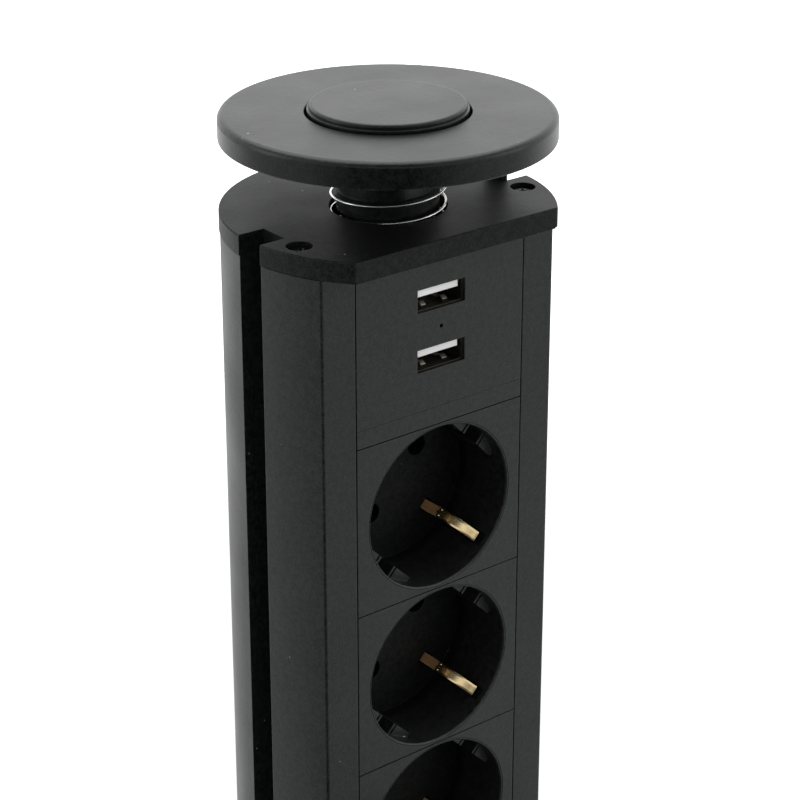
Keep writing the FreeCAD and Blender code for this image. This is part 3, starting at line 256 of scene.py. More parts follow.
class Effects:
    """The node groups that the finishes share.

    Scales are texture scales, or factors of the finish's own. Pairs are the two ends of a mask or a range.
    """

    coarse_scale: float = 0.31
    coarse_share: float = 0.6
    tone_scale: float = 55.0
    tone_mask: Pair = (0.3, 0.7)
    fleck_mask: Pair = (0.66, 0.96)
    speck_scale: float = 420.0
    speck_size: Pair = (0.035, 0.11)
    speck_strength: Pair = (0.25, 1.0)
    edge_mask: Pair = (0.995, 0.80)
    wear_scale: float = 260.0
    wear_mask: Pair = (0.3, 0.65)
    line_mask: Pair = (0.35, 0.65)
    patch_scale: float = 0.08

    def __init__(self) -> None:
        """Builds every group."""
        self.grain = self.make_grain()
        self.dust = self.make_dust()
        self.rub = self.make_rub()
        self.drawn = self.make_drawn()

    def make_grain(self) -> Tree:
        """Spark-eroded grain of a moulded or coated face.

        Returns:
            A group with a height, a slow change of tone and light flecks.
        """
        group = EffectGroup("Grain", "Scale", 2400.0)
        fine = group.noise(group.where, group.measure, detail=2.0, rough=0.55)
        wide = group.calc("MULTIPLY", group.measure, self.coarse_scale)
        coarse = group.noise(group.where, wide, detail=2.0)
        height = group.calc("MULTIPLY_ADD", coarse, self.coarse_share, fine)
        slow = group.noise(group.where, self.tone_scale)
        return group.close(Height=height, Tone=group.ramp(slow, *self.tone_mask),
                           Fleck=group.ramp(height, *self.fleck_mask))

    def make_dust(self) -> Tree:
        """Sparse tiny specks that lie on a face.

        Returns:
            A group with a mask of the specks.
        """
        group = EffectGroup("Dust", "Amount", 0.1)
        places = {"Vector": group.where, "Scale": self.speck_scale}
        cells = group.add("ShaderNodeTexVoronoi", places).outputs
        chance = group.add("ShaderNodeSeparateColor", {0: cells["Color"]}).outputs
        chosen = group.calc("GREATER_THAN", chance[0], group.calc("SUBTRACT", 1.0, group.measure))
        size = group.ramp(chance[1], 0.0, 1.0, *self.speck_size)
        near = group.calc("LESS_THAN", cells["Distance"], size)
        strength = group.ramp(chance[2], 0.0, 1.0, *self.speck_strength)
        return group.close(Specks=group.calc("MULTIPLY", group.calc("MULTIPLY", chosen, near), strength))

    def make_rub(self) -> Tree:
        """Edges that handling has rubbed a little brighter and smoother.

        Returns:
            A group with a mask of the rubbed edges and the softened normal.
        """
        group = EffectGroup("Edge rub", "Radius", 0.0003)
        soft = group.add("ShaderNodeBevel", {"Radius": group.measure}, samples=6).outputs[0]
        face = group.add("ShaderNodeNewGeometry").outputs["Normal"]
        turned = group.ramp(group.vector("DOT_PRODUCT", soft, face)["Value"], *self.edge_mask)
        cloud = group.noise(group.where, self.wear_scale, detail=4.0, rough=0.6)
        patchy = group.ramp(cloud, *self.wear_mask)
        return group.close(Edge=group.calc("MULTIPLY", turned, patchy), Normal=soft)

    def make_drawn(self) -> Tree:
        """Fine lines that drawing, pressing or brushing leaves on metal.

        Returns:
            A group with a height and a mask of the lines.
        """
        group = EffectGroup("Drawn lines", "Scale", 900.0)
        lines = group.noise(group.where, group.measure, detail=4.0, rough=0.65)
        wide = group.calc("MULTIPLY", group.measure, self.patch_scale)
        patches = group.noise(group.where, wide, detail=2.0)
        mask = group.calc("MULTIPLY", group.ramp(lines, *self.line_mask), patches)
        return group.close(Height=lines, Lines=mask)


@dataclass(frozen=True)
class Finish:
    """A finish as one material. Each kind below says what its shader gets."""

    name: str

    def build(self, effects: Effects) -> bpy.types.Material:
        """Makes the material.

        Args:
            effects: the shared node groups.

        Returns:
            The material.
        """
        material = bpy.data.materials.new(self.name)
        graph = Graph.fresh(material)
        shader = graph.add("ShaderNodeBsdfPrincipled", self.look(graph, effects))
        graph.add("ShaderNodeOutputMaterial", {"Surface": shader.outputs[0]})
        return material

    def look(self, graph: Graph, effects: Effects) -> dict[str, object]:
        """Adds the nodes of this kind of finish.

        Args:
            graph: the material's nodes.
            effects: the shared node groups.

        Returns:
            The shader's inputs by name.
        """
        raise NotImplementedError


@dataclass(frozen=True)
class Moulded(Finish):
    """Moulded plastic or coated metal: grain, slow change of tone, dust and rubbed edges.

    The numbers below its colours are factors, shares and metres. Faces deep in the recesses, along Y,
    get painted shade: past the first limit below they turn partly metallic, up to the share `deep`, which
    darkens their black, and rougher.
    """

    colour: Colour = (0.016, 0.016, 0.017)
    worn: Colour = (0.06, 0.06, 0.062)
    dust_colour: Colour = (0.35, 0.35, 0.36)
    tint: Colour = (0.93, 1.0, 0.97)
    tone_low: float = 0.78
    roughness: float = 0.5
    spread: float = 0.08
    specular: float = 0.5
    grain: float = 2400.0
    depth: float = 0.000040
    stretch: Point = UNSTRETCHED
    fleck: float = 3.4
    fleck_dark: float = 0.15
    fleck_share: float = 0.75
    dust: float = 0.05
    rub: float = 0.5
    rub_smooth: float = 0.12
    radius: float = 0.00025
    # painted shade of the socket recesses: its share, its limits along Y in metres and its added roughness
    deep: float = 0.0
    recess_shade_from: float = -0.006
    recess_shade_to: float = -0.003
    recess_shade_rough: float = 0.12

    def look(self, graph: Graph, effects: Effects) -> dict[str, object]:
        """Adds grain, tone, flecks, dust and rubbed edges.

        Args:
            graph: the material's nodes.
            effects: the shared node groups.

        Returns:
            The shader's inputs by name.
        """
        where = graph.place()
        grain = graph.group(effects.grain, Place=graph.place(self.stretch), Scale=self.grain)
        dust = graph.group(effects.dust, Place=where, Amount=self.dust)
        rub = graph.group(effects.rub, Place=where, Radius=self.radius)
        body = graph.blend(grain["Tone"], scaled(self.colour, self.tone_low), self.colour)
        if self.fleck:
            flecks = graph.blend(grain["Fleck"], scaled(self.colour, self.fleck_dark),
                                 scaled(self.colour, self.fleck))
            body = graph.blend(self.fleck_share, body, flecks)
        edge = graph.calc("MULTIPLY", rub["Edge"], self.rub)
        body = graph.blend(edge, body, self.worn)
        rough = graph.ramp(grain["Tone"], 0.0, 1.0, self.roughness + self.spread / 2,
                           self.roughness - self.spread / 2)
        rough = graph.calc("SUBTRACT", rough, graph.calc("MULTIPLY", edge, self.rub_smooth))
        look = {"Base Color": graph.blend(dust["Specks"], body, self.dust_colour),
                "Specular IOR Level": self.specular, "Specular Tint": self.tint,
                "Normal": graph.bump(grain["Height"], self.depth, 1.0, rub["Normal"])}
        # painted shade deep in the recesses: the black turns partly metallic, which darkens it, and rougher
        if self.deep:
            inward = graph.axis(where, "Y")
            limits = (self.recess_shade_from, self.recess_shade_to, 0.0)
            look["Metallic"] = graph.ramp(inward, *limits, self.deep, smooth=True)
            rough = graph.calc("ADD", rough, graph.ramp(inward, *limits, self.recess_shade_rough, smooth=True))
        return look | {"Roughness": rough}


@dataclass(frozen=True)
class Metal(Finish):
    """Bare or plated metal with drawn lines, stains and, where wanted, a dull depth.

    Between dull_from and dull_to, along Y, it turns into the colour `dull`, with a ragged border.
    """

    colour: Colour = (0.72, 0.72, 0.71)
    stain: Colour = (0.45, 0.44, 0.42)
    stain_share: float = 0.5
    roughness: float = 0.22
    spread: float = 0.15
    scale: float = 900.0
    cloud: float = 240.0
    cloud_mask: Pair = (0.42, 0.72)
    stretch: Point = UNSTRETCHED
    depth: float = 0.000006
    dull: Colour | None = None
    dull_from: float = 0.0
    dull_to: float = 0.0
    dull_rough: float = 0.22
    dull_metal: float = -0.55
    ragged: float = 0.003

    def look(self, graph: Graph, effects: Effects) -> dict[str, object]:
        """Adds drawn lines, stains and the dull depth.

        Args:
            graph: the material's nodes.
            effects: the shared node groups.

        Returns:
            The shader's inputs by name.
        """
        drawn = graph.group(effects.drawn, Place=graph.place(self.stretch), Scale=self.scale)
        where = graph.place()
        cloud = graph.ramp(graph.noise(where, self.cloud, detail=4.0, rough=0.6), *self.cloud_mask)
        colour = graph.blend(graph.calc("MULTIPLY", cloud, self.stain_share), self.colour, self.stain)
        bare = 1.0
        rough = graph.ramp(drawn["Lines"], 0.0, 1.0, self.roughness, self.roughness + self.spread)
        if self.dull is not None:
            inward = graph.calc("MULTIPLY_ADD", graph.noise(where, 500.0), self.ragged,
                                graph.axis(where, "Y"))
            share = graph.ramp(inward, self.dull_from + self.ragged / 2, self.dull_to + self.ragged / 2,
                               smooth=True)
            colour = graph.blend(share, colour, self.dull)
            rough = graph.calc("MULTIPLY_ADD", share, self.dull_rough, rough)
            bare = graph.calc("MULTIPLY_ADD", share, self.dull_metal, 1.0)
        return {"Base Color": colour, "Metallic": bare, "Roughness": rough,
                "Normal": graph.bump(drawn["Height"], self.depth, 0.6)}


@dataclass(frozen=True)
class Board(Finish):
    """Circuit board: green mask over copper runs, with solder at some crossings."""

    mask: Colour = (0.012, 0.09, 0.03)
    run: Colour = (0.03, 0.17, 0.06)
    solder: Colour = (0.6, 0.6, 0.58)
    scale: float = 420.0
    run_mask: Pair = (0.42, 0.46)
    dot_mask: Pair = (0.10, 0.08)
    roughness: Pair = (0.42, 0.25)
    depth: float = 0.00003

    def look(self, graph: Graph, effects: Effects) -> dict[str, object]:
        """Adds the runs and the solder dots.

        Args:
            graph: the material's nodes.
            effects: the shared node groups.

        Returns:
            The shader's inputs by name.
        """
        cells = graph.add("ShaderNodeTexVoronoi", {"Vector": graph.place(), "Scale": self.scale},
                          distance="MANHATTAN", feature="F1").outputs
        runs = graph.ramp(cells["Distance"], *self.run_mask)
        dots = graph.ramp(cells["Distance"], *self.dot_mask)
        return {"Base Color": graph.blend(dots, graph.blend(runs, self.mask, self.run), self.solder),
                "Roughness": graph.ramp(dots, 0.0, 1.0, *self.roughness), "Metallic": dots,
                "Normal": graph.bump(graph.calc("ADD", runs, dots), self.depth)}


@dataclass(frozen=True)
class Clear(Finish):
    """Smoked clear plastic of the light pipe."""

    colour: Colour = (0.010, 0.010, 0.011)
    darker: float = 0.6
    cloud: float = 1500.0
    cloud_mask: Pair = (0.3, 0.7)
    roughness: Pair = (0.18, 0.3)
    specular: float = 0.15
    clear: float = 0.75
    index: float = 1.49

    def look(self, graph: Graph, effects: Effects) -> dict[str, object]:
        """Adds a faint cloud.

        Args:
            graph: the material's nodes.
            effects: the shared node groups.

        Returns:
            The shader's inputs by name.
        """
        cloud = graph.noise(graph.place(), self.cloud)
        return {"Base Color": graph.blend(cloud, scaled(self.colour, self.darker), self.colour),
                "Roughness": graph.ramp(cloud, *self.cloud_mask, *self.roughness), "IOR": self.index,
                "Specular IOR Level": self.specular, "Transmission Weight": self.clear}


FINISHES = (
    Moulded("lid_black", colour=(0.0034, 0.0036, 0.0036), worn=(0.02, 0.021, 0.021), roughness=0.33,
            dust=0.10, specular=0.34, fleck=2.6),
    Moulded("cap_black", colour=(0.0036, 0.0038, 0.0038), worn=(0.02, 0.021, 0.021), roughness=0.50,
            dust=0.10, specular=0.19),
    # deep: painted shade of the socket recesses
    Moulded("module_black", colour=(0.0044, 0.0047, 0.0046), worn=(0.03, 0.031, 0.031), roughness=0.46,
            dust=0.07, specular=0.54, deep=0.6),
    Moulded("housing_black", colour=(0.0041, 0.0044, 0.0044), worn=(0.03, 0.031, 0.031), roughness=0.46,
            dust=0.07),
    Moulded("shaft_black", colour=(0.0040, 0.0040, 0.0043), roughness=0.26, dust=0.02, depth=0.000006),
    Moulded("strip_black", colour=(0.0060, 0.0060, 0.0063), roughness=0.42, stretch=(1.0, 1.0, 0.03)),
    Moulded("collar_black", colour=(0.0062, 0.0063, 0.0066), worn=(0.03, 0.03, 0.031), roughness=0.45),
    Moulded("rubber_black", colour=(0.0080, 0.0080, 0.0080), roughness=0.82, dust=0.10, specular=0.35,
            depth=0.00002),
    Moulded("tongue_white", colour=(0.90, 0.90, 0.89), worn=(0.94, 0.94, 0.93), roughness=0.36, dust=0.0,
            grain=2200.0, depth=0.000010, rub=0.3, fleck=0.0, tint=WHITE),
    Metal("sleeve_dark", colour=(0.060, 0.048, 0.030), stain=(0.025, 0.020, 0.014), roughness=0.45),
    Moulded("inner_grey", colour=(0.30, 0.30, 0.29), worn=(0.40, 0.40, 0.39), roughness=0.55, dust=0.03,
            fleck=0.0),
    Moulded("component_dark", colour=(0.03, 0.03, 0.035), roughness=0.4, dust=0.0),
    Metal("spring_steel", colour=(0.80, 0.80, 0.79), roughness=0.16, stain_share=0.25),
    Metal("shell_steel", colour=(0.12, 0.118, 0.10), stain=(0.05, 0.048, 0.04), roughness=0.30,
          stretch=(1.0, 0.05, 1.0)),
    Metal("finger_steel", colour=(0.46, 0.43, 0.37), stain=(0.32, 0.29, 0.24), roughness=0.36),
    Metal("screw_black", colour=(0.075, 0.075, 0.078), stain=(0.03, 0.03, 0.03), roughness=0.38),
    Metal("plain_steel", colour=(0.55, 0.55, 0.54), roughness=0.32),
    Metal("clip_brass", colour=(0.92, 0.74, 0.42), stain=(0.70, 0.50, 0.24), roughness=0.20,
          stretch=(1.0, 0.06, 1.0), dull=(0.66, 0.38, 0.18), dull_from=-0.0072, dull_to=-0.0058),
    Metal("bar_brass", colour=(0.80, 0.58, 0.26), stain=(0.5, 0.33, 0.14), roughness=0.34,
          stretch=(1.0, 1.0, 0.05)),
    Board("board_green"),
    Clear("light_clear"),
)


def stand_by() -> None:
    """Leaves edit mode and deselects everything."""
    if bpy.context.object is not None and bpy.context.object.mode != "OBJECT":
        bpy.ops.object.mode_set(mode="OBJECT")
    bpy.ops.object.select_all(action="DESELECT")


def show(thing: Thing) -> Thing:
    """Puts a new object into the scene and returns it."""
    bpy.context.scene.collection.objects.link(thing)
    return thing


class Piece:
    """A new piece and the ways to shape it. Its lengths are millimetres."""

    def __init__(self, thing: Thing) -> None:
        """Takes the object to shape."""
        self.thing = thing

    def only(self) -> None:
        """Selects this piece alone and makes it the active one."""
        stand_by()
        self.thing.select_set(True)
        bpy.context.view_layer.objects.active = self.thing

    def remove(self) -> None:
        """Deletes a piece that has served its purpose."""
        bpy.data.objects.remove(self.thing, do_unlink=True)

    def settle(self, name: str) -> "Piece":
        """Moves the piece's place into its mesh and names it.

        Args:
            name: its new name.

        Returns:
            The same piece.
        """
        self.only()
        bpy.ops.object.transform_apply(location=True, rotation=True, scale=True)
        self.thing.name = name
        self.thing.data.name = name
        return self

    def smooth(self, degrees: float = 30.0) -> None:
        """Shades the piece smooth, apart from corners sharper than so many degrees."""
        self.only()
        bpy.ops.object.shade_smooth_by_angle(angle=math.radians(degrees))

    def change(self, kind: str, **settings: object) -> None:
        """Applies one modifier.

        Args:
            kind: Blender's name of the modifier.
            settings: its properties.
        """
        self.only()
        modifier = self.thing.modifiers.new(kind.lower(), kind)
        for name, value in settings.items():
            setattr(modifier, name, value)
        bpy.ops.object.modifier_apply(modifier=modifier.name)

    def even(self) -> None:
        """Evens the shading of a cut, smooth piece, so that its larger faces stay flat."""
        self.change("WEIGHTED_NORMAL", keep_sharp=True, weight=80)

    def thicken(self, wall: float, offset: float = 0.0) -> None:
        """Gives a sheet its wall: an offset of -1 is inwards and 0 is to both sides."""
        self.change("SOLIDIFY", thickness=wall * MM, offset=offset)

    def soften(self, width: float, degrees: float = 35.0) -> None:
        """Rounds edges in two steps, apart from corners flatter than so many degrees."""
        self.change("BEVEL", width=width * MM, segments=2, limit_method="ANGLE",
                    angle_limit=math.radians(degrees))

    def carve(self, tool: "Piece", operation: str = "DIFFERENCE") -> None:
        """Cuts the piece with a tool, or adds the tool to it with UNION, and removes the tool."""
        self.change("BOOLEAN", operation=operation, solver="EXACT", object=tool.thing)
        tool.remove()

    def edit(self, everything: bool = False) -> None:
        """Opens the piece in edit mode.

        Args:
            everything: whether all of it is selected, or nothing.
        """
        self.only()
        bpy.ops.object.mode_set(mode="EDIT")
        bpy.ops.mesh.select_mode(type="VERT")
        bpy.ops.mesh.select_all(action="SELECT" if everything else "DESELECT")

    def pick_verts(self, wanted: Callable[[Vector], bool]) -> None:
        """Selects vertices in edit mode.

        Args:
            wanted: says whether a vertex is wanted, from its place.
        """
        shape = bmesh.from_edit_mesh(self.thing.data)
        for vertex in shape.verts:
            vertex.select_set(wanted(vertex.co / MM))
        shape.select_flush(True)
        bmesh.update_edit_mesh(self.thing.data)

    def pick_faces(self, wanted: Callable[[Vector, Vector], bool]) -> None:
        """Selects faces in edit mode.

        Args:
            wanted: says whether a face is wanted, from its middle and its normal.
        """
        shape = bmesh.from_edit_mesh(self.thing.data)
        bpy.ops.mesh.select_mode(type="FACE")
        for face in shape.faces:
            face.select_set(wanted(face.calc_center_median() / MM, face.normal))
        bmesh.update_edit_mesh(self.thing.data)

    @staticmethod
    def shift(x: float = 0.0, y: float = 0.0, z: float = 0.0) -> None:
        """Moves the selection."""
        bpy.ops.transform.translate(value=(x * MM, y * MM, z * MM))

    @staticmethod
    def step(inset: float, y: float = 0.0, z: float = 0.0) -> None:
        """Insets the selected faces and moves them."""
        bpy.ops.mesh.inset(thickness=inset * MM)
        Piece.shift(0.0, y, z)

    @staticmethod
    def extrude(x: float = 0.0, y: float = 0.0, z: float = 0.0) -> None:
        """Extrudes the selection."""
        bpy.ops.mesh.extrude_region_move(TRANSFORM_OT_translate={"value": (x * MM, y * MM, z * MM)})

    @staticmethod
    def joined(pieces: list["Piece"], name: str) -> "Piece":
        """Joins pieces into one.

        Args:
            pieces: the pieces.
            name: name of the whole.

        Returns:
            The whole.
        """
        stand_by()
        for piece in pieces:
            piece.thing.select_set(True)
        bpy.context.view_layer.objects.active = pieces[0].thing
        bpy.ops.object.join()
        return pieces[0].settle(name)

    def scattered(self, name: str, places: Iterable[tuple[Point, Point]]) -> "Piece":
        """Sets copies at several places and joins them, while the piece itself stays.

        Args:
            name: name of the whole.
            places: where each copy goes, in metres, and how it is turned.

        Returns:
            The whole.
        """
        copies = []
        for spot, turn in places:
            copy = self.thing.copy()
            copy.data = self.thing.data.copy()
            copy.location = spot
            copy.rotation_euler = turn
            copies.append(Piece(show(copy)).settle(name))
        return Piece.joined(copies, name)

    @staticmethod
    def twin(node: str, name: str) -> "Piece":
        """Copies a CAD node's mesh into a piece of its own and merges its points.

        Args:
            node: the node.
            name: the copy's name.

        Returns:
            The copy, in the node's place.
        """
        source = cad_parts[node]
        piece = Piece(show(bpy.data.objects.new(name, source.data.copy())))
        piece.thing.matrix_world = source.matrix_world.copy()
        piece.settle(name).edit(everything=True)
        bpy.ops.mesh.remove_doubles(threshold=0.002 * MM)
        bpy.ops.mesh.normals_make_consistent(inside=False)
        stand_by()
        return piece

    @staticmethod
    def block(name: str, size: Point, middle: Point) -> "Piece":
        """A box.

        Args:
            name: its name.
            size: its size.
            middle: its middle.

        Returns:
            The box.
        """
        stand_by()
        bpy.ops.mesh.primitive_cube_add(size=MM, location=scaled(middle, MM), scale=size)
        return Piece(bpy.context.object).settle(name)

    @staticmethod
    def pillar(name: str, sides: int, radius: float, low: float, high: float) -> "Piece":
        """An upright cylinder around the Z axis.

        Args:
            name: its name.
            sides: number of its sides.
            radius: its radius.
            low: level of its lower end.
            high: level of its upper end.

        Returns:
            The cylinder.
        """
        stand_by()
        bpy.ops.mesh.primitive_cylinder_add(vertices=sides, radius=radius * MM, depth=(high - low) * MM,
                                            location=(0.0, 0.0, (high + low) / 2 * MM))
        return Piece(bpy.context.object).settle(name)

    @staticmethod
    def rod(name: str, points: list[Point], radius: float, steps: int) -> "Piece":
        """A round wire along points.

        Args:
            name: its name.
            points: its middle line.
            radius: its radius.
            steps: how finely it is rounded.

        Returns:
            The wire as a mesh.
        """
        curve = bpy.data.curves.new(name, "CURVE")
        curve.dimensions = "3D"
        spline = curve.splines.new("POLY")
        spline.points.add(len(points) - 1)
        for knot, point in zip(spline.points, points):
            knot.co = (*scaled(point, MM), 1.0)
        curve.bevel_depth = radius * MM
        curve.bevel_resolution = steps
        curve.use_fill_caps = True
        wire = Piece(show(bpy.data.objects.new(name, curve)))
        wire.only()
        bpy.ops.object.convert(target="MESH")
        return wire.settle(name)

    @staticmethod
    def strip(name: str, width: float, route: Iterable[Pair], columns: tuple[float, ...] = ()) -> "Piece":
        """A sheet bent along a route: its width lies along X, its route in Y and Z.

        Args:
            name: its name.
            width: its width.
            route: points (y, z).
            columns: places across the width where it has more edges.

        Returns:
            The sheet.
        """
        places = [-width / 2, *columns, width / 2]
        route = list(route)
        stand_by()
        bpy.ops.mesh.primitive_grid_add(x_subdivisions=len(places) - 1, y_subdivisions=1, size=MM)
        piece = Piece(bpy.context.object)
        piece.thing.name = name
        piece.edit()
        shape = bmesh.from_edit_mesh(piece.thing.data)
        rows = {False: [], True: []}
        for vertex in shape.verts:
            rows[vertex.co.y > 0].append(vertex)
        for far, (y, z) in ((False, route[0]), (True, route[1])):
            for vertex, x in zip(sorted(rows[far], key=lambda item: item.co.x), places):
                vertex.co = (x * MM, y * MM, z * MM)
                vertex.select_set(far)
        shape.select_flush(True)
        bmesh.update_edit_mesh(piece.thing.data)
        for (y0, z0), (y1, z1) in zip(route[1:], route[2:]):
            Piece.extrude(0.0, y1 - y0, z1 - z0)
        bpy.ops.mesh.select_all(action="SELECT")
        bpy.ops.mesh.normals_make_consistent(inside=False)
        stand_by()
        return piece


class Palette:
    """Every finish of the tower, by name, and which one each CAD node that keeps its shape gets."""

    nodes = {
        "lid_black": ("lid", "button"),
        "cap_black": ("top_cap", "bottom_cap"),
        "module_black": ("usb_plate", "spacer_strip", "socket_upper", "socket_middle", "socket_lower",
                         "blank_cover"),
        "housing_black": ("housing",),
        "shaft_black": ("lid_shaft",),
        "strip_black": ("guide_strip",),
        "collar_black": ("clamp_ring", "cable_gland", "gland_nut"),
        "rubber_black": ("flange_gasket", "wiper_ring"),
        "tongue_white": ("usb_tongues",),
        "inner_grey": ("terminal_block",),
        "component_dark": ("usb_components", "brake_plunger"),
        "screw_black": ("strip_screw",),
        "plain_steel": ("guide_rod", "rod_clip", "button_clip", "lid_screws", "board_screws"),
        "sleeve_dark": ("contact_sleeves",),
        "bar_brass": ("usb_contacts", "line_bar", "neutral_bar", "earth_bar"),
        "board_green": ("usb_board",),
    }

    def __init__(self) -> None:
        """Builds the shared groups and the materials."""
        effects = Effects()
        self.materials = {finish.name: finish.build(effects) for finish in FINISHES}

    def dress(self, thing: Thing, name: str) -> None:
        """Gives a CAD node or a new piece's object one finish all over."""
        thing.data.materials.clear()
        thing.data.materials.append(self.materials[name])

    def dress_nodes(self) -> None:
        """Dresses the CAD nodes that keep their shape."""
        for finish, names in self.nodes.items():
            for name in names:
                self.dress(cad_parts[name], finish)
                log.info("node %s: %s", name, finish)

    def seat(self, piece: Piece, finish: str, body: Body, slot: str, *stands_for: str) -> Thing:
        """Dresses a new piece and sets it on its body.

        Args:
            piece: the finished piece.
            finish: its finish.
            body: the body that it moves with.
            slot: not used.
            stands_for: CAD nodes that it replaces.

        Returns:
            Its object.
        """
        thing = piece.thing
        self.dress(thing, finish)
        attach(thing, body.value)
        if stands_for:
            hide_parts(*stands_for)
        log.info("piece %s on %s", thing.name, body.value)
        return thing


@dataclass
class Detail:
    """A refined piece of the tower, or several of a kind. Each sort below builds its own."""

    palette: Palette

    def build(self) -> None:
        """Models the pieces, dresses them with the palette's finishes and sets them on their bodies."""
        raise NotImplementedError


@dataclass
class Coil:
    """A compression spring of round wire with a closed turn at each end. Millimetres and degrees."""

    name: str
    radius: float
    wire: float
    low: float
    high: float
    open_turns: float
    end_pitch: float
    start: float
    steps: int = 44
    ease: float = 0.125

    def height(self, turns: float) -> float:
        """Follows the wire's middle upwards.

        Args:
            turns: number of turns from its lower end.

        Returns:
            Its height there.
        """
        pitch = (self.high - self.low - 2 * self.end_pitch) / self.open_turns
        height = self.low + self.end_pitch * min(turns, 1.0)
        height += pitch * max(0.0, min(turns - 1.0, self.open_turns))
        return height + self.end_pitch * max(0.0, turns - 1.0 - self.open_turns)

    def build(self) -> Piece:
        """Draws the wire, with its changes of pitch eased over a quarter of a turn.

        Returns:
            The spring as a mesh.
        """
        total = self.open_turns + 2.0
        last = int(total * self.steps)
        points = []
        for number in range(last + 1):
            turns = total * number / last
            low, high = max(0.0, turns - self.ease), min(total, turns + self.ease)
            height = (self.height(low) + 2 * self.height(turns) + self.height(high)) / 4
            angle = math.radians(self.start) + FULL_TURN * turns
            points.append((self.radius * math.cos(angle), self.radius * math.sin(angle), height))
        spring = Piece.rod(self.name, points, self.wire / 2, steps=4)
        spring.smooth(degrees=40.0)
        return spring


class Springs(Detail):
    """The lid's spring around the shaft and the button's spring inside it."""

    lid = Coil("lid_spring_coil", radius=12.675, wire=0.55, low=171.575, high=193.325, open_turns=5.06,
               end_pitch=1.0, start=101.0)
    button = Coil("button_spring_coil", radius=4.55, wire=0.7, low=188.15, high=197.45, open_turns=4.5,
                  end_pitch=0.85, start=20.0, steps=28)

    def build(self) -> None:
        """Makes both springs and sets the lid's on the tower and the button's on the lid."""
        lid = self.palette.seat(self.lid.build(), "spring_steel", Body.TOWER, "spring_steel", "lid_spring")
        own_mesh(lid)
        button = self.palette.seat(self.button.build(), "spring_steel", Body.LID, "spring_steel",
                                   "button_spring")
        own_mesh(button)


@dataclass
class UsbShells(Detail):
    """The sheet-metal shells of the two USB mouths, with their spring fingers. Millimetres."""

    centres: tuple[float, ...] = (162.2, 148.2)
    width: float = 13.14
    height: float = 5.34
    front: float = -17.9
    back: float = -6.7
    wall: float = 0.3
    edge: float = 0.09
    finger_x: tuple[float, ...] = (-3.0, 3.0)
    finger_width: float = 1.35
    finger_wall: float = 0.2
    finger_gap: float = 0.10
    finger_edge: float = 0.05
    finger_route: tuple[Pair, ...] = (
        (-9.0, 0.0), (-13.8, 0.02), (-14.2, 0.10), (-14.55, 0.32), (-14.8, 0.54), (-15.05, 0.62),
        (-15.4, 0.54), (-15.9, 0.22), (-16.15, 0.02))

    def shell(self, level: float) -> Piece:
        """One shell: a box without its front, with a softened edge.

        Args:
            level: height of its middle.

        Returns:
            The shell.
        """
        box = Piece.block("usb_shell_box", (self.width, self.back - self.front, self.height),
                          (0.0, (self.front + self.back) / 2, level))
        box.edit()
        box.pick_faces(lambda place, normal: normal.y < -0.5)
        bpy.ops.mesh.delete(type="FACE")
        stand_by()
        box.thicken(self.wall, -1.0)
        box.soften(self.edge)
        return box

    def finger(self, level: float, x: float) -> Piece:
        """One spring finger that stands on a shell's lower wall.

        Args:
            level: height of the shell's middle.
            x: its place across.

        Returns:
            The finger.
        """
        foot = level - (self.height / 2 - self.wall - self.finger_gap)
        route = [(y, foot + rise) for y, rise in self.finger_route]
        blade = Piece.strip("usb_finger", self.finger_width, route)
        blade.thicken(self.finger_wall)
        blade.edit(everything=True)
        blade.shift(x=x)
        stand_by()
        blade.soften(self.finger_edge)
        return blade

    def build(self) -> None:
        """Makes the shells as one piece and their fingers as another."""
        shells = Piece.joined([self.shell(level) for level in self.centres], "usb_shells_formed")
        shells.smooth()
        self.palette.seat(shells, "shell_steel", Body.TOWER, "shell_steel", "usb_shells")
        blades = [self.finger(level, x) for level in self.centres for x in self.finger_x]
        fingers = Piece.joined(blades, "usb_shell_fingers")
        fingers.smooth()
        self.palette.seat(fingers, "finger_steel", Body.TOWER, "shell_steel")


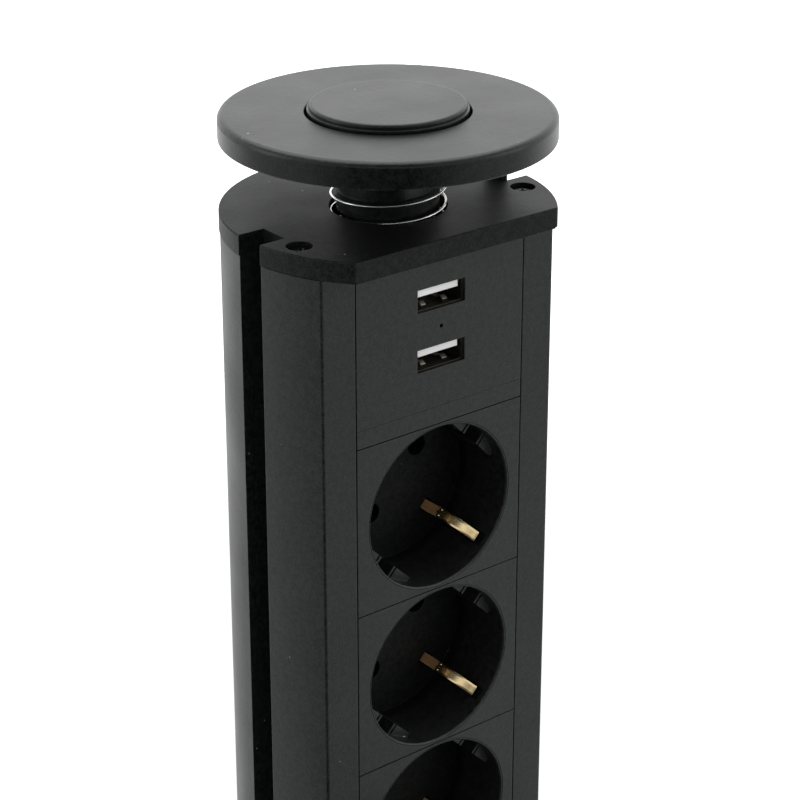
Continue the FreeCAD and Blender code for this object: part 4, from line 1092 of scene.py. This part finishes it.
@dataclass
class EarthClips(Detail):
    """The earth clips of the sockets: bent brass strips with a pressed rib and two stops. Millimetres."""

    centres: tuple[float, ...] = (111.5, 70.5, 29.5)
    width: float = 2.4
    wall: float = 0.42
    edge: float = 0.07
    turns: tuple[float, ...] = (135.0, -45.0)
    route: tuple[Pair, ...] = (
        (11.4, 13.9), (3.5, 13.9), (-0.7, 13.9), (-2.6, 13.86), (-4.0, 13.72), (-5.2, 13.52),
        (-6.1, 13.32), (-6.8, 13.12), (-7.3, 13.04), (-7.9, 13.08), (-8.9, 13.28), (-10.2, 13.68),
        (-11.4, 14.25), (-12.4, 14.95), (-13.2, 15.75), (-13.9, 16.65), (-14.55, 17.6), (-15.05, 18.35),
        (-15.4, 18.8), (-15.5, 19.0))
    columns: tuple[float, ...] = (-0.62, -0.3, 0.0, 0.3, 0.62)
    rib_rise: float = -0.42
    rib_width: float = 0.2
    rib_ends: Pair = (-7.6, 1.0)
    stop_x: tuple[float, ...] = (-0.74, 0.74)
    stop_y: float = -7.3
    stop_z: float = 12.88
    stop_radius: float = 0.44
    stop_shape: Point = (0.85, 1.25, 0.8)
    stop_flat: float = 13.0
    stop_share: float = 0.5

    def stop(self, x: float) -> Piece:
        """One round stop, flatter above, where it meets the strip.

        Args:
            x: its place across.

        Returns:
            The stop.
        """
        bpy.ops.mesh.primitive_uv_sphere_add(segments=20, ring_count=10, radius=self.stop_radius * MM,
                                             location=(x * MM, self.stop_y * MM, self.stop_z * MM))
        dot = Piece(bpy.context.object)
        dot.thing.scale = self.stop_shape
        dot.settle("earth_clip_dot").edit()
        dot.pick_verts(lambda place: place.z > self.stop_flat)
        bpy.ops.transform.resize(value=(1.0, 1.0, self.stop_share),
                                 center_override=(0.0, 0.0, self.stop_flat * MM))
        stand_by()
        return dot

    def strip(self) -> Piece:
        """One clip as it stands over a level line through the recess's axis.

        Returns:
            The clip, radial along Z and deep along Y.
        """
        clip = Piece.strip("earth_clip_strip", self.width, self.route, self.columns)
        front, back = self.rib_ends
        clip.edit()
        clip.pick_verts(lambda place: abs(place.x) < self.rib_width / 2 and front < place.y < back)
        clip.shift(z=self.rib_rise)
        stand_by()
        clip.thicken(self.wall)
        clip.soften(self.edge)
        return Piece.joined([clip, *(self.stop(x) for x in self.stop_x)], "earth_clip")

    def build(self) -> None:
        """Sets a clip on each side of each recess."""
        first = self.strip()
        places = [((0.0, 0.0, centre * MM), (0.0, math.radians(turn), 0.0))
                  for centre in self.centres for turn in self.turns]
        clips = first.scattered("earth_clips_formed", places)
        first.remove()
        clips.smooth(degrees=40.0)
        self.palette.seat(clips, "clip_brass", Body.TOWER, "brass", "earth_clips")


@dataclass
class CrossScrews(Detail):
    """Sunk cross-head screws: a rounded head with a tapered cross and a shank. Millimetres."""

    radius: float = 2.68
    height: float = 2.0
    dome: float = 0.3
    dome_steps: tuple[Pair, ...] = ((0.35, 0.22), (0.45, 0.08))
    shank: float = 1.45
    length: float = 13.7
    edge: float = 0.06
    arm: float = 0.62
    reach: float = 1.75
    depth: float = 1.5
    above: float = 0.4
    taper_across: float = 0.45
    taper_along: float = 0.75
    quarter: float = 31.0

    def cross(self) -> Piece:
        """The cross that is cut into the head, narrower at its bottom.

        Returns:
            The cutting shape, with the head's rim at level 0.
        """
        bars = []
        for wide, deep in ((self.reach, self.arm), (self.arm, self.reach)):
            bar = Piece.block("cross_bar", (wide * 2, deep, self.depth + self.above),
                              (0.0, 0.0, (self.above - self.depth) / 2))
            bar.edit()
            bar.pick_faces(lambda place, normal: normal.z < -0.5)
            tapers = (self.taper_across, self.taper_along)
            across, along = tapers if wide > deep else tapers[::-1]
            bpy.ops.transform.resize(value=(across, along, 1.0), center_override=(0.0, 0.0, -self.depth * MM))
            stand_by()
            bars.append(bar)
        bars[0].carve(bars[1], "UNION")
        return bars[0]

    def screw(self) -> Piece:
        """One screw that points down, with its head's rim at level 0.

        Returns:
            The screw.
        """
        screw = Piece.pillar("cross_screw", sides=48, radius=self.radius, low=-self.height, high=0.0)
        screw.edit()
        screw.pick_faces(lambda place, normal: normal.z > 0.5)
        for inset, rise in self.dome_steps:
            screw.step(inset, z=rise)
        screw.pick_faces(lambda place, normal: normal.z < -0.5)
        bpy.ops.mesh.inset(thickness=(self.radius - self.shank) * MM)
        screw.extrude(z=-self.length)
        stand_by()
        cross = self.cross()
        cross.edit(everything=True)
        cross.shift(z=self.dome)
        stand_by()
        screw.carve(cross)
        screw.soften(self.edge, degrees=30.0)
        return screw

    def build(self) -> None:
        """Sets the two screws of the cap and the two of the bottom, each turned differently."""
        first = self.screw()
        for name, node, turned, spin in (("cap_screws_crossed", "cap_screws", False, 24.0),
                                         ("bottom_screws_crossed", "bottom_screws", True, 67.0)):
            low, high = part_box(node)
            level = low[2] + self.dome * MM if turned else high[2] - self.dome * MM
            middle = (low[1] + high[1]) / 2
            ends = (low[0] + self.radius * MM, high[0] - self.radius * MM)
            pair = first.scattered(name, [
                ((x, middle, level), (math.pi if turned else 0.0, 0.0, math.radians(spin + extra)))
                for x, extra in zip(ends, (0.0, self.quarter))])
            pair.smooth(degrees=32.0)
            self.palette.seat(pair, "screw_black", Body.TOWER, "screw_steel", node)
        first.remove()


@dataclass
class LightPipe(Detail):
    """The light between the two USB mouths, sunk in its pinhole, with a domed end. Millimetres."""

    end: float = 0.3
    slack: float = 0.1
    sunk: float = 0.9
    rim: float = 0.16
    dome: float = 0.09

    def build(self) -> None:
        """Sinks and domes the end of the pipe."""
        pipe = Piece.twin("usb_light_pipe", "usb_light_pipe_sunk")
        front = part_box("usb_light_pipe")[0][1] / MM
        pipe.edit()
        pipe.pick_verts(lambda place: place.y < front + self.end)
        pipe.shift(y=self.sunk)
        limit = front + self.sunk + self.slack
        pipe.pick_faces(lambda place, normal: normal.y < -0.9 and place.y < limit)
        pipe.step(self.rim, y=-self.dome)
        stand_by()
        pipe.smooth(degrees=50.0)
        self.palette.seat(pipe, "light_clear", Body.TOWER, "light_pipe", "usb_light_pipe")


@dataclass
class ThreadedCollar(Detail):
    """The collar with a thread cut into its sleeve, for the clamp ring. Millimetres."""

    radius: float = 39.98
    groove: float = 0.80
    pitch: float = 3.0
    top: float = -8.0
    bottom: float = -48.6
    steps: int = 90

    def build(self) -> None:
        """Cuts a round-bottomed helix into a copy of the collar."""
        count = int((self.top - self.bottom) / self.pitch * self.steps) + 1
        points = []
        for number in range(count):
            angle = FULL_TURN * number / self.steps
            points.append((self.radius * math.cos(angle), self.radius * math.sin(angle),
                           self.top - self.pitch * number / self.steps))
        tool = Piece.rod("thread_tool", points, self.groove, steps=2)
        collar = Piece.twin("collar", "collar_threaded")
        collar.carve(tool)
        collar.smooth()
        collar.even()
        self.palette.seat(collar, "collar_black", Body.COLLAR, "collar", "collar")


@dataclass
class FlutedDome(Detail):
    """The gland's dome nut with finger flutes around it. Millimetres."""

    centre: Pair = (0.0, -6.0)
    place: float = 8.05
    radius: float = 0.95
    low: float = -70.0
    high: float = -59.6
    tip_inset: float = 0.3
    tip_rise: float = 0.25
    count: int = 12

    def build(self) -> None:
        """Cuts the flutes, which end in a small dome, into a copy of the dome nut."""
        first = Piece.pillar("flute_tool", sides=24, radius=self.radius, low=self.low, high=self.high)
        first.edit()
        first.pick_faces(lambda place, normal: normal.z > 0.5)
        first.step(self.tip_inset, z=self.tip_rise)
        stand_by()
        places = []
        for number in range(self.count):
            angle = FULL_TURN * number / self.count
            spot = (self.centre[0] + self.place * math.cos(angle),
                    self.centre[1] + self.place * math.sin(angle), 0.0)
            places.append((scaled(spot, MM), (0.0, 0.0, 0.0)))
        tools = first.scattered("flute_tools", places)
        first.remove()
        dome = Piece.twin("gland_dome", "gland_dome_fluted")
        dome.carve(tools)
        dome.smooth()
        dome.even()
        self.palette.seat(dome, "collar_black", Body.TOWER, "collar", "gland_dome")


@dataclass(frozen=True)
class Softbox:
    """A square lamp that points at the object."""

    name: str
    place: Point
    width: float
    height: float
    power: float
    target: Point = (0.0, 0.0, 0.10)

    def build(self) -> None:
        """Adds the lamp."""
        lamp = bpy.data.lights.new(self.name, "AREA")
        lamp.shape = "RECTANGLE"
        lamp.size = self.width
        lamp.size_y = self.height
        lamp.energy = self.power
        holder = show(bpy.data.objects.new(self.name, lamp))
        holder.location = self.place
        aim = Vector(self.target) - Vector(self.place)
        holder.rotation_euler = aim.to_track_quat("-Z", "Y").to_euler()


@dataclass
class Studio:
    """Floor, world, lamps and camera.

    In gloss the room is gloss_back bright behind the tower, gloss_side beside it and gloss_front in
    front, with a band as bright as gloss_above over the front. A floor_fade is a distance in metres.
    """

    floor_level: float = -0.0705
    floor_radius: float = 6.0
    floor_grain: float = 900.0
    floor_fade: Pair = (0.25, 0.75)
    floor_glow: float = 0.04
    floor_cloth: tuple[Colour, Colour] = ((0.80, 0.80, 0.80), (0.84, 0.84, 0.84))
    ambient: float = 0.80
    front: Point = (-0.612, -0.791, 0.0)
    front_edge: Pair = (0.93, 0.62)
    back_edge: Pair = (-0.1, -0.8)
    band_low: Pair = (0.20, 0.36)
    band_high: Pair = (0.46, 0.66)
    gloss_front: float = 0.03
    gloss_above: float = 0.95
    gloss_side: float = 0.66
    gloss_back: float = 1.5
    position: Point = (-0.28310, -0.36558, 0.34148)
    turn: Point = (69.348, 0.0, -38.117)
    sensor: float = 36.0
    lens: float = 100.588
    shift: Pair = (-0.00204, -0.18763)
    clip: Pair = (0.01, 50.0)
    lamps: tuple[Softbox, ...] = (
        Softbox("overhead", (0.15, 0.25, 1.25), width=1.3, height=1.3, power=9.0),
        Softbox("front_right", (1.1, -0.9, 0.55), width=0.7, height=0.9, power=2.5),
        Softbox("left_rear", (-1.1, 0.7, 0.5), width=0.6, height=0.9, power=2.5),
    )

    @staticmethod
    def path(graph: Graph) -> tuple[Socket, Socket]:
        """Masks of two kinds of rays.

        Args:
            graph: the nodes of the floor or the world.

        Returns:
            Rays from the camera, and rays seen in gloss or through glass.
        """
        rays = graph.add("ShaderNodeLightPath").outputs
        both = graph.calc("ADD", rays["Is Glossy Ray"], rays["Is Transmission Ray"], clamp=True)
        return rays["Is Camera Ray"], both

    def surroundings(self, graph: Graph, where: Socket) -> Socket:
        """How bright the room looks in gloss: white behind, paler sides and an unlit front.

        Args:
            graph: the nodes of the floor or the world.
            where: a place or a direction from the tower.

        Returns:
            The brightness.
        """
        unit = graph.vector("NORMALIZE", graph.vector("MULTIPLY", where, (1.0, 1.0, 0.0))[0])[0]
        toward = graph.vector("DOT_PRODUCT", unit, self.front)["Value"]
        lit = graph.ramp(toward, *self.front_edge, self.gloss_front, self.gloss_side, smooth=True)
        behind = graph.ramp(toward, *self.back_edge, 0.0, self.gloss_back - self.gloss_side, smooth=True)
        return graph.calc("ADD", lit, behind)

    def build_world(self) -> None:
        """Plain pale surroundings, white where they are seen."""
        world = bpy.data.worlds.new("studio")
        bpy.context.scene.world = world
        graph = Graph.fresh(world)
        camera, gloss = self.path(graph)
        toward = graph.add("ShaderNodeTexCoord").outputs["Generated"]
        height = graph.axis(toward, "Z")
        above = graph.calc("MULTIPLY", graph.ramp(height, *self.band_low, 0.0, 1.0, smooth=True),
                           graph.ramp(height, *self.band_high, 1.0, 0.0, smooth=True))
        level = self.surroundings(graph, toward)
        lift = graph.calc("MULTIPLY", above, graph.calc("SUBTRACT", self.gloss_above, level, clamp=True))
        around = graph.calc("ADD", level, lift)
        plain = graph.ramp(camera, 0.0, 1.0, self.ambient, 1.0)
        strength = graph.add("ShaderNodeMix", {0: gloss, 2: plain, 3: around}, data_type="FLOAT").outputs[0]
        background = graph.add("ShaderNodeBackground", {"Color": WHITE, "Strength": strength})
        graph.add("ShaderNodeOutputWorld", {"Surface": background.outputs[0]})

    def build_floor(self) -> None:
        """A pale floor that keeps the object's shadow and fades into the surroundings."""
        stand_by()
        bpy.ops.mesh.primitive_circle_add(vertices=96, radius=self.floor_radius, fill_type="NGON",
                                          location=(0.0, 0.0, self.floor_level))
        floor = Piece(bpy.context.object).settle("studio_floor").thing
        material = bpy.data.materials.new("studio_floor")
        graph = Graph.fresh(material)
        where = graph.place()
        camera, gloss = self.path(graph)
        away = graph.vector("LENGTH", where)["Value"]
        share = graph.ramp(away, *self.floor_fade, self.floor_glow, 1.0, smooth=True)
        cloth = graph.blend(graph.noise(where, self.floor_grain), *self.floor_cloth)
        matt = graph.add("ShaderNodeBsdfDiffuse", {"Color": cloth}).outputs[0]
        seen = graph.calc("MULTIPLY", share, camera)
        glow = graph.add("ShaderNodeEmission", {"Color": WHITE, "Strength": seen}).outputs[0]
        plain = graph.add("ShaderNodeAddShader", {0: matt, 1: glow}).outputs[0]
        bright = self.surroundings(graph, where)
        room = graph.add("ShaderNodeEmission", {"Color": WHITE, "Strength": bright}).outputs[0]
        both = graph.add("ShaderNodeMixShader", {0: gloss, 1: plain, 2: room}).outputs[0]
        graph.add("ShaderNodeOutputMaterial", {"Surface": both})
        floor.data.materials.append(material)

    def build_camera(self) -> None:
        """The camera at the photograph's angle."""
        camera = bpy.data.cameras.new("camera")
        camera.sensor_width = self.sensor
        camera.lens = self.lens
        camera.shift_x, camera.shift_y = self.shift
        camera.clip_start, camera.clip_end = self.clip
        holder = show(bpy.data.objects.new("camera", camera))
        holder.location = self.position
        holder.rotation_euler = tuple(math.radians(part) for part in self.turn)
        bpy.context.scene.camera = holder

    def build(self) -> None:
        """Builds the studio."""
        self.build_world()
        self.build_floor()
        for lamp in self.lamps:
            lamp.build()
        self.build_camera()
        bpy.context.scene.view_settings.view_transform = "Standard"


def main() -> None:
    """Builds the pieces in order, dresses them and sets up the studio."""
    logging.basicConfig(level=logging.INFO, format="%(message)s")
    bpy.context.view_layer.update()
    palette = Palette()
    palette.dress_nodes()
    for sort in (Springs, UsbShells, EarthClips, CrossScrews, LightPipe, ThreadedCollar, FlutedDome):
        sort(palette).build()
    Studio().build()


if __name__ == "__main__":
    main()
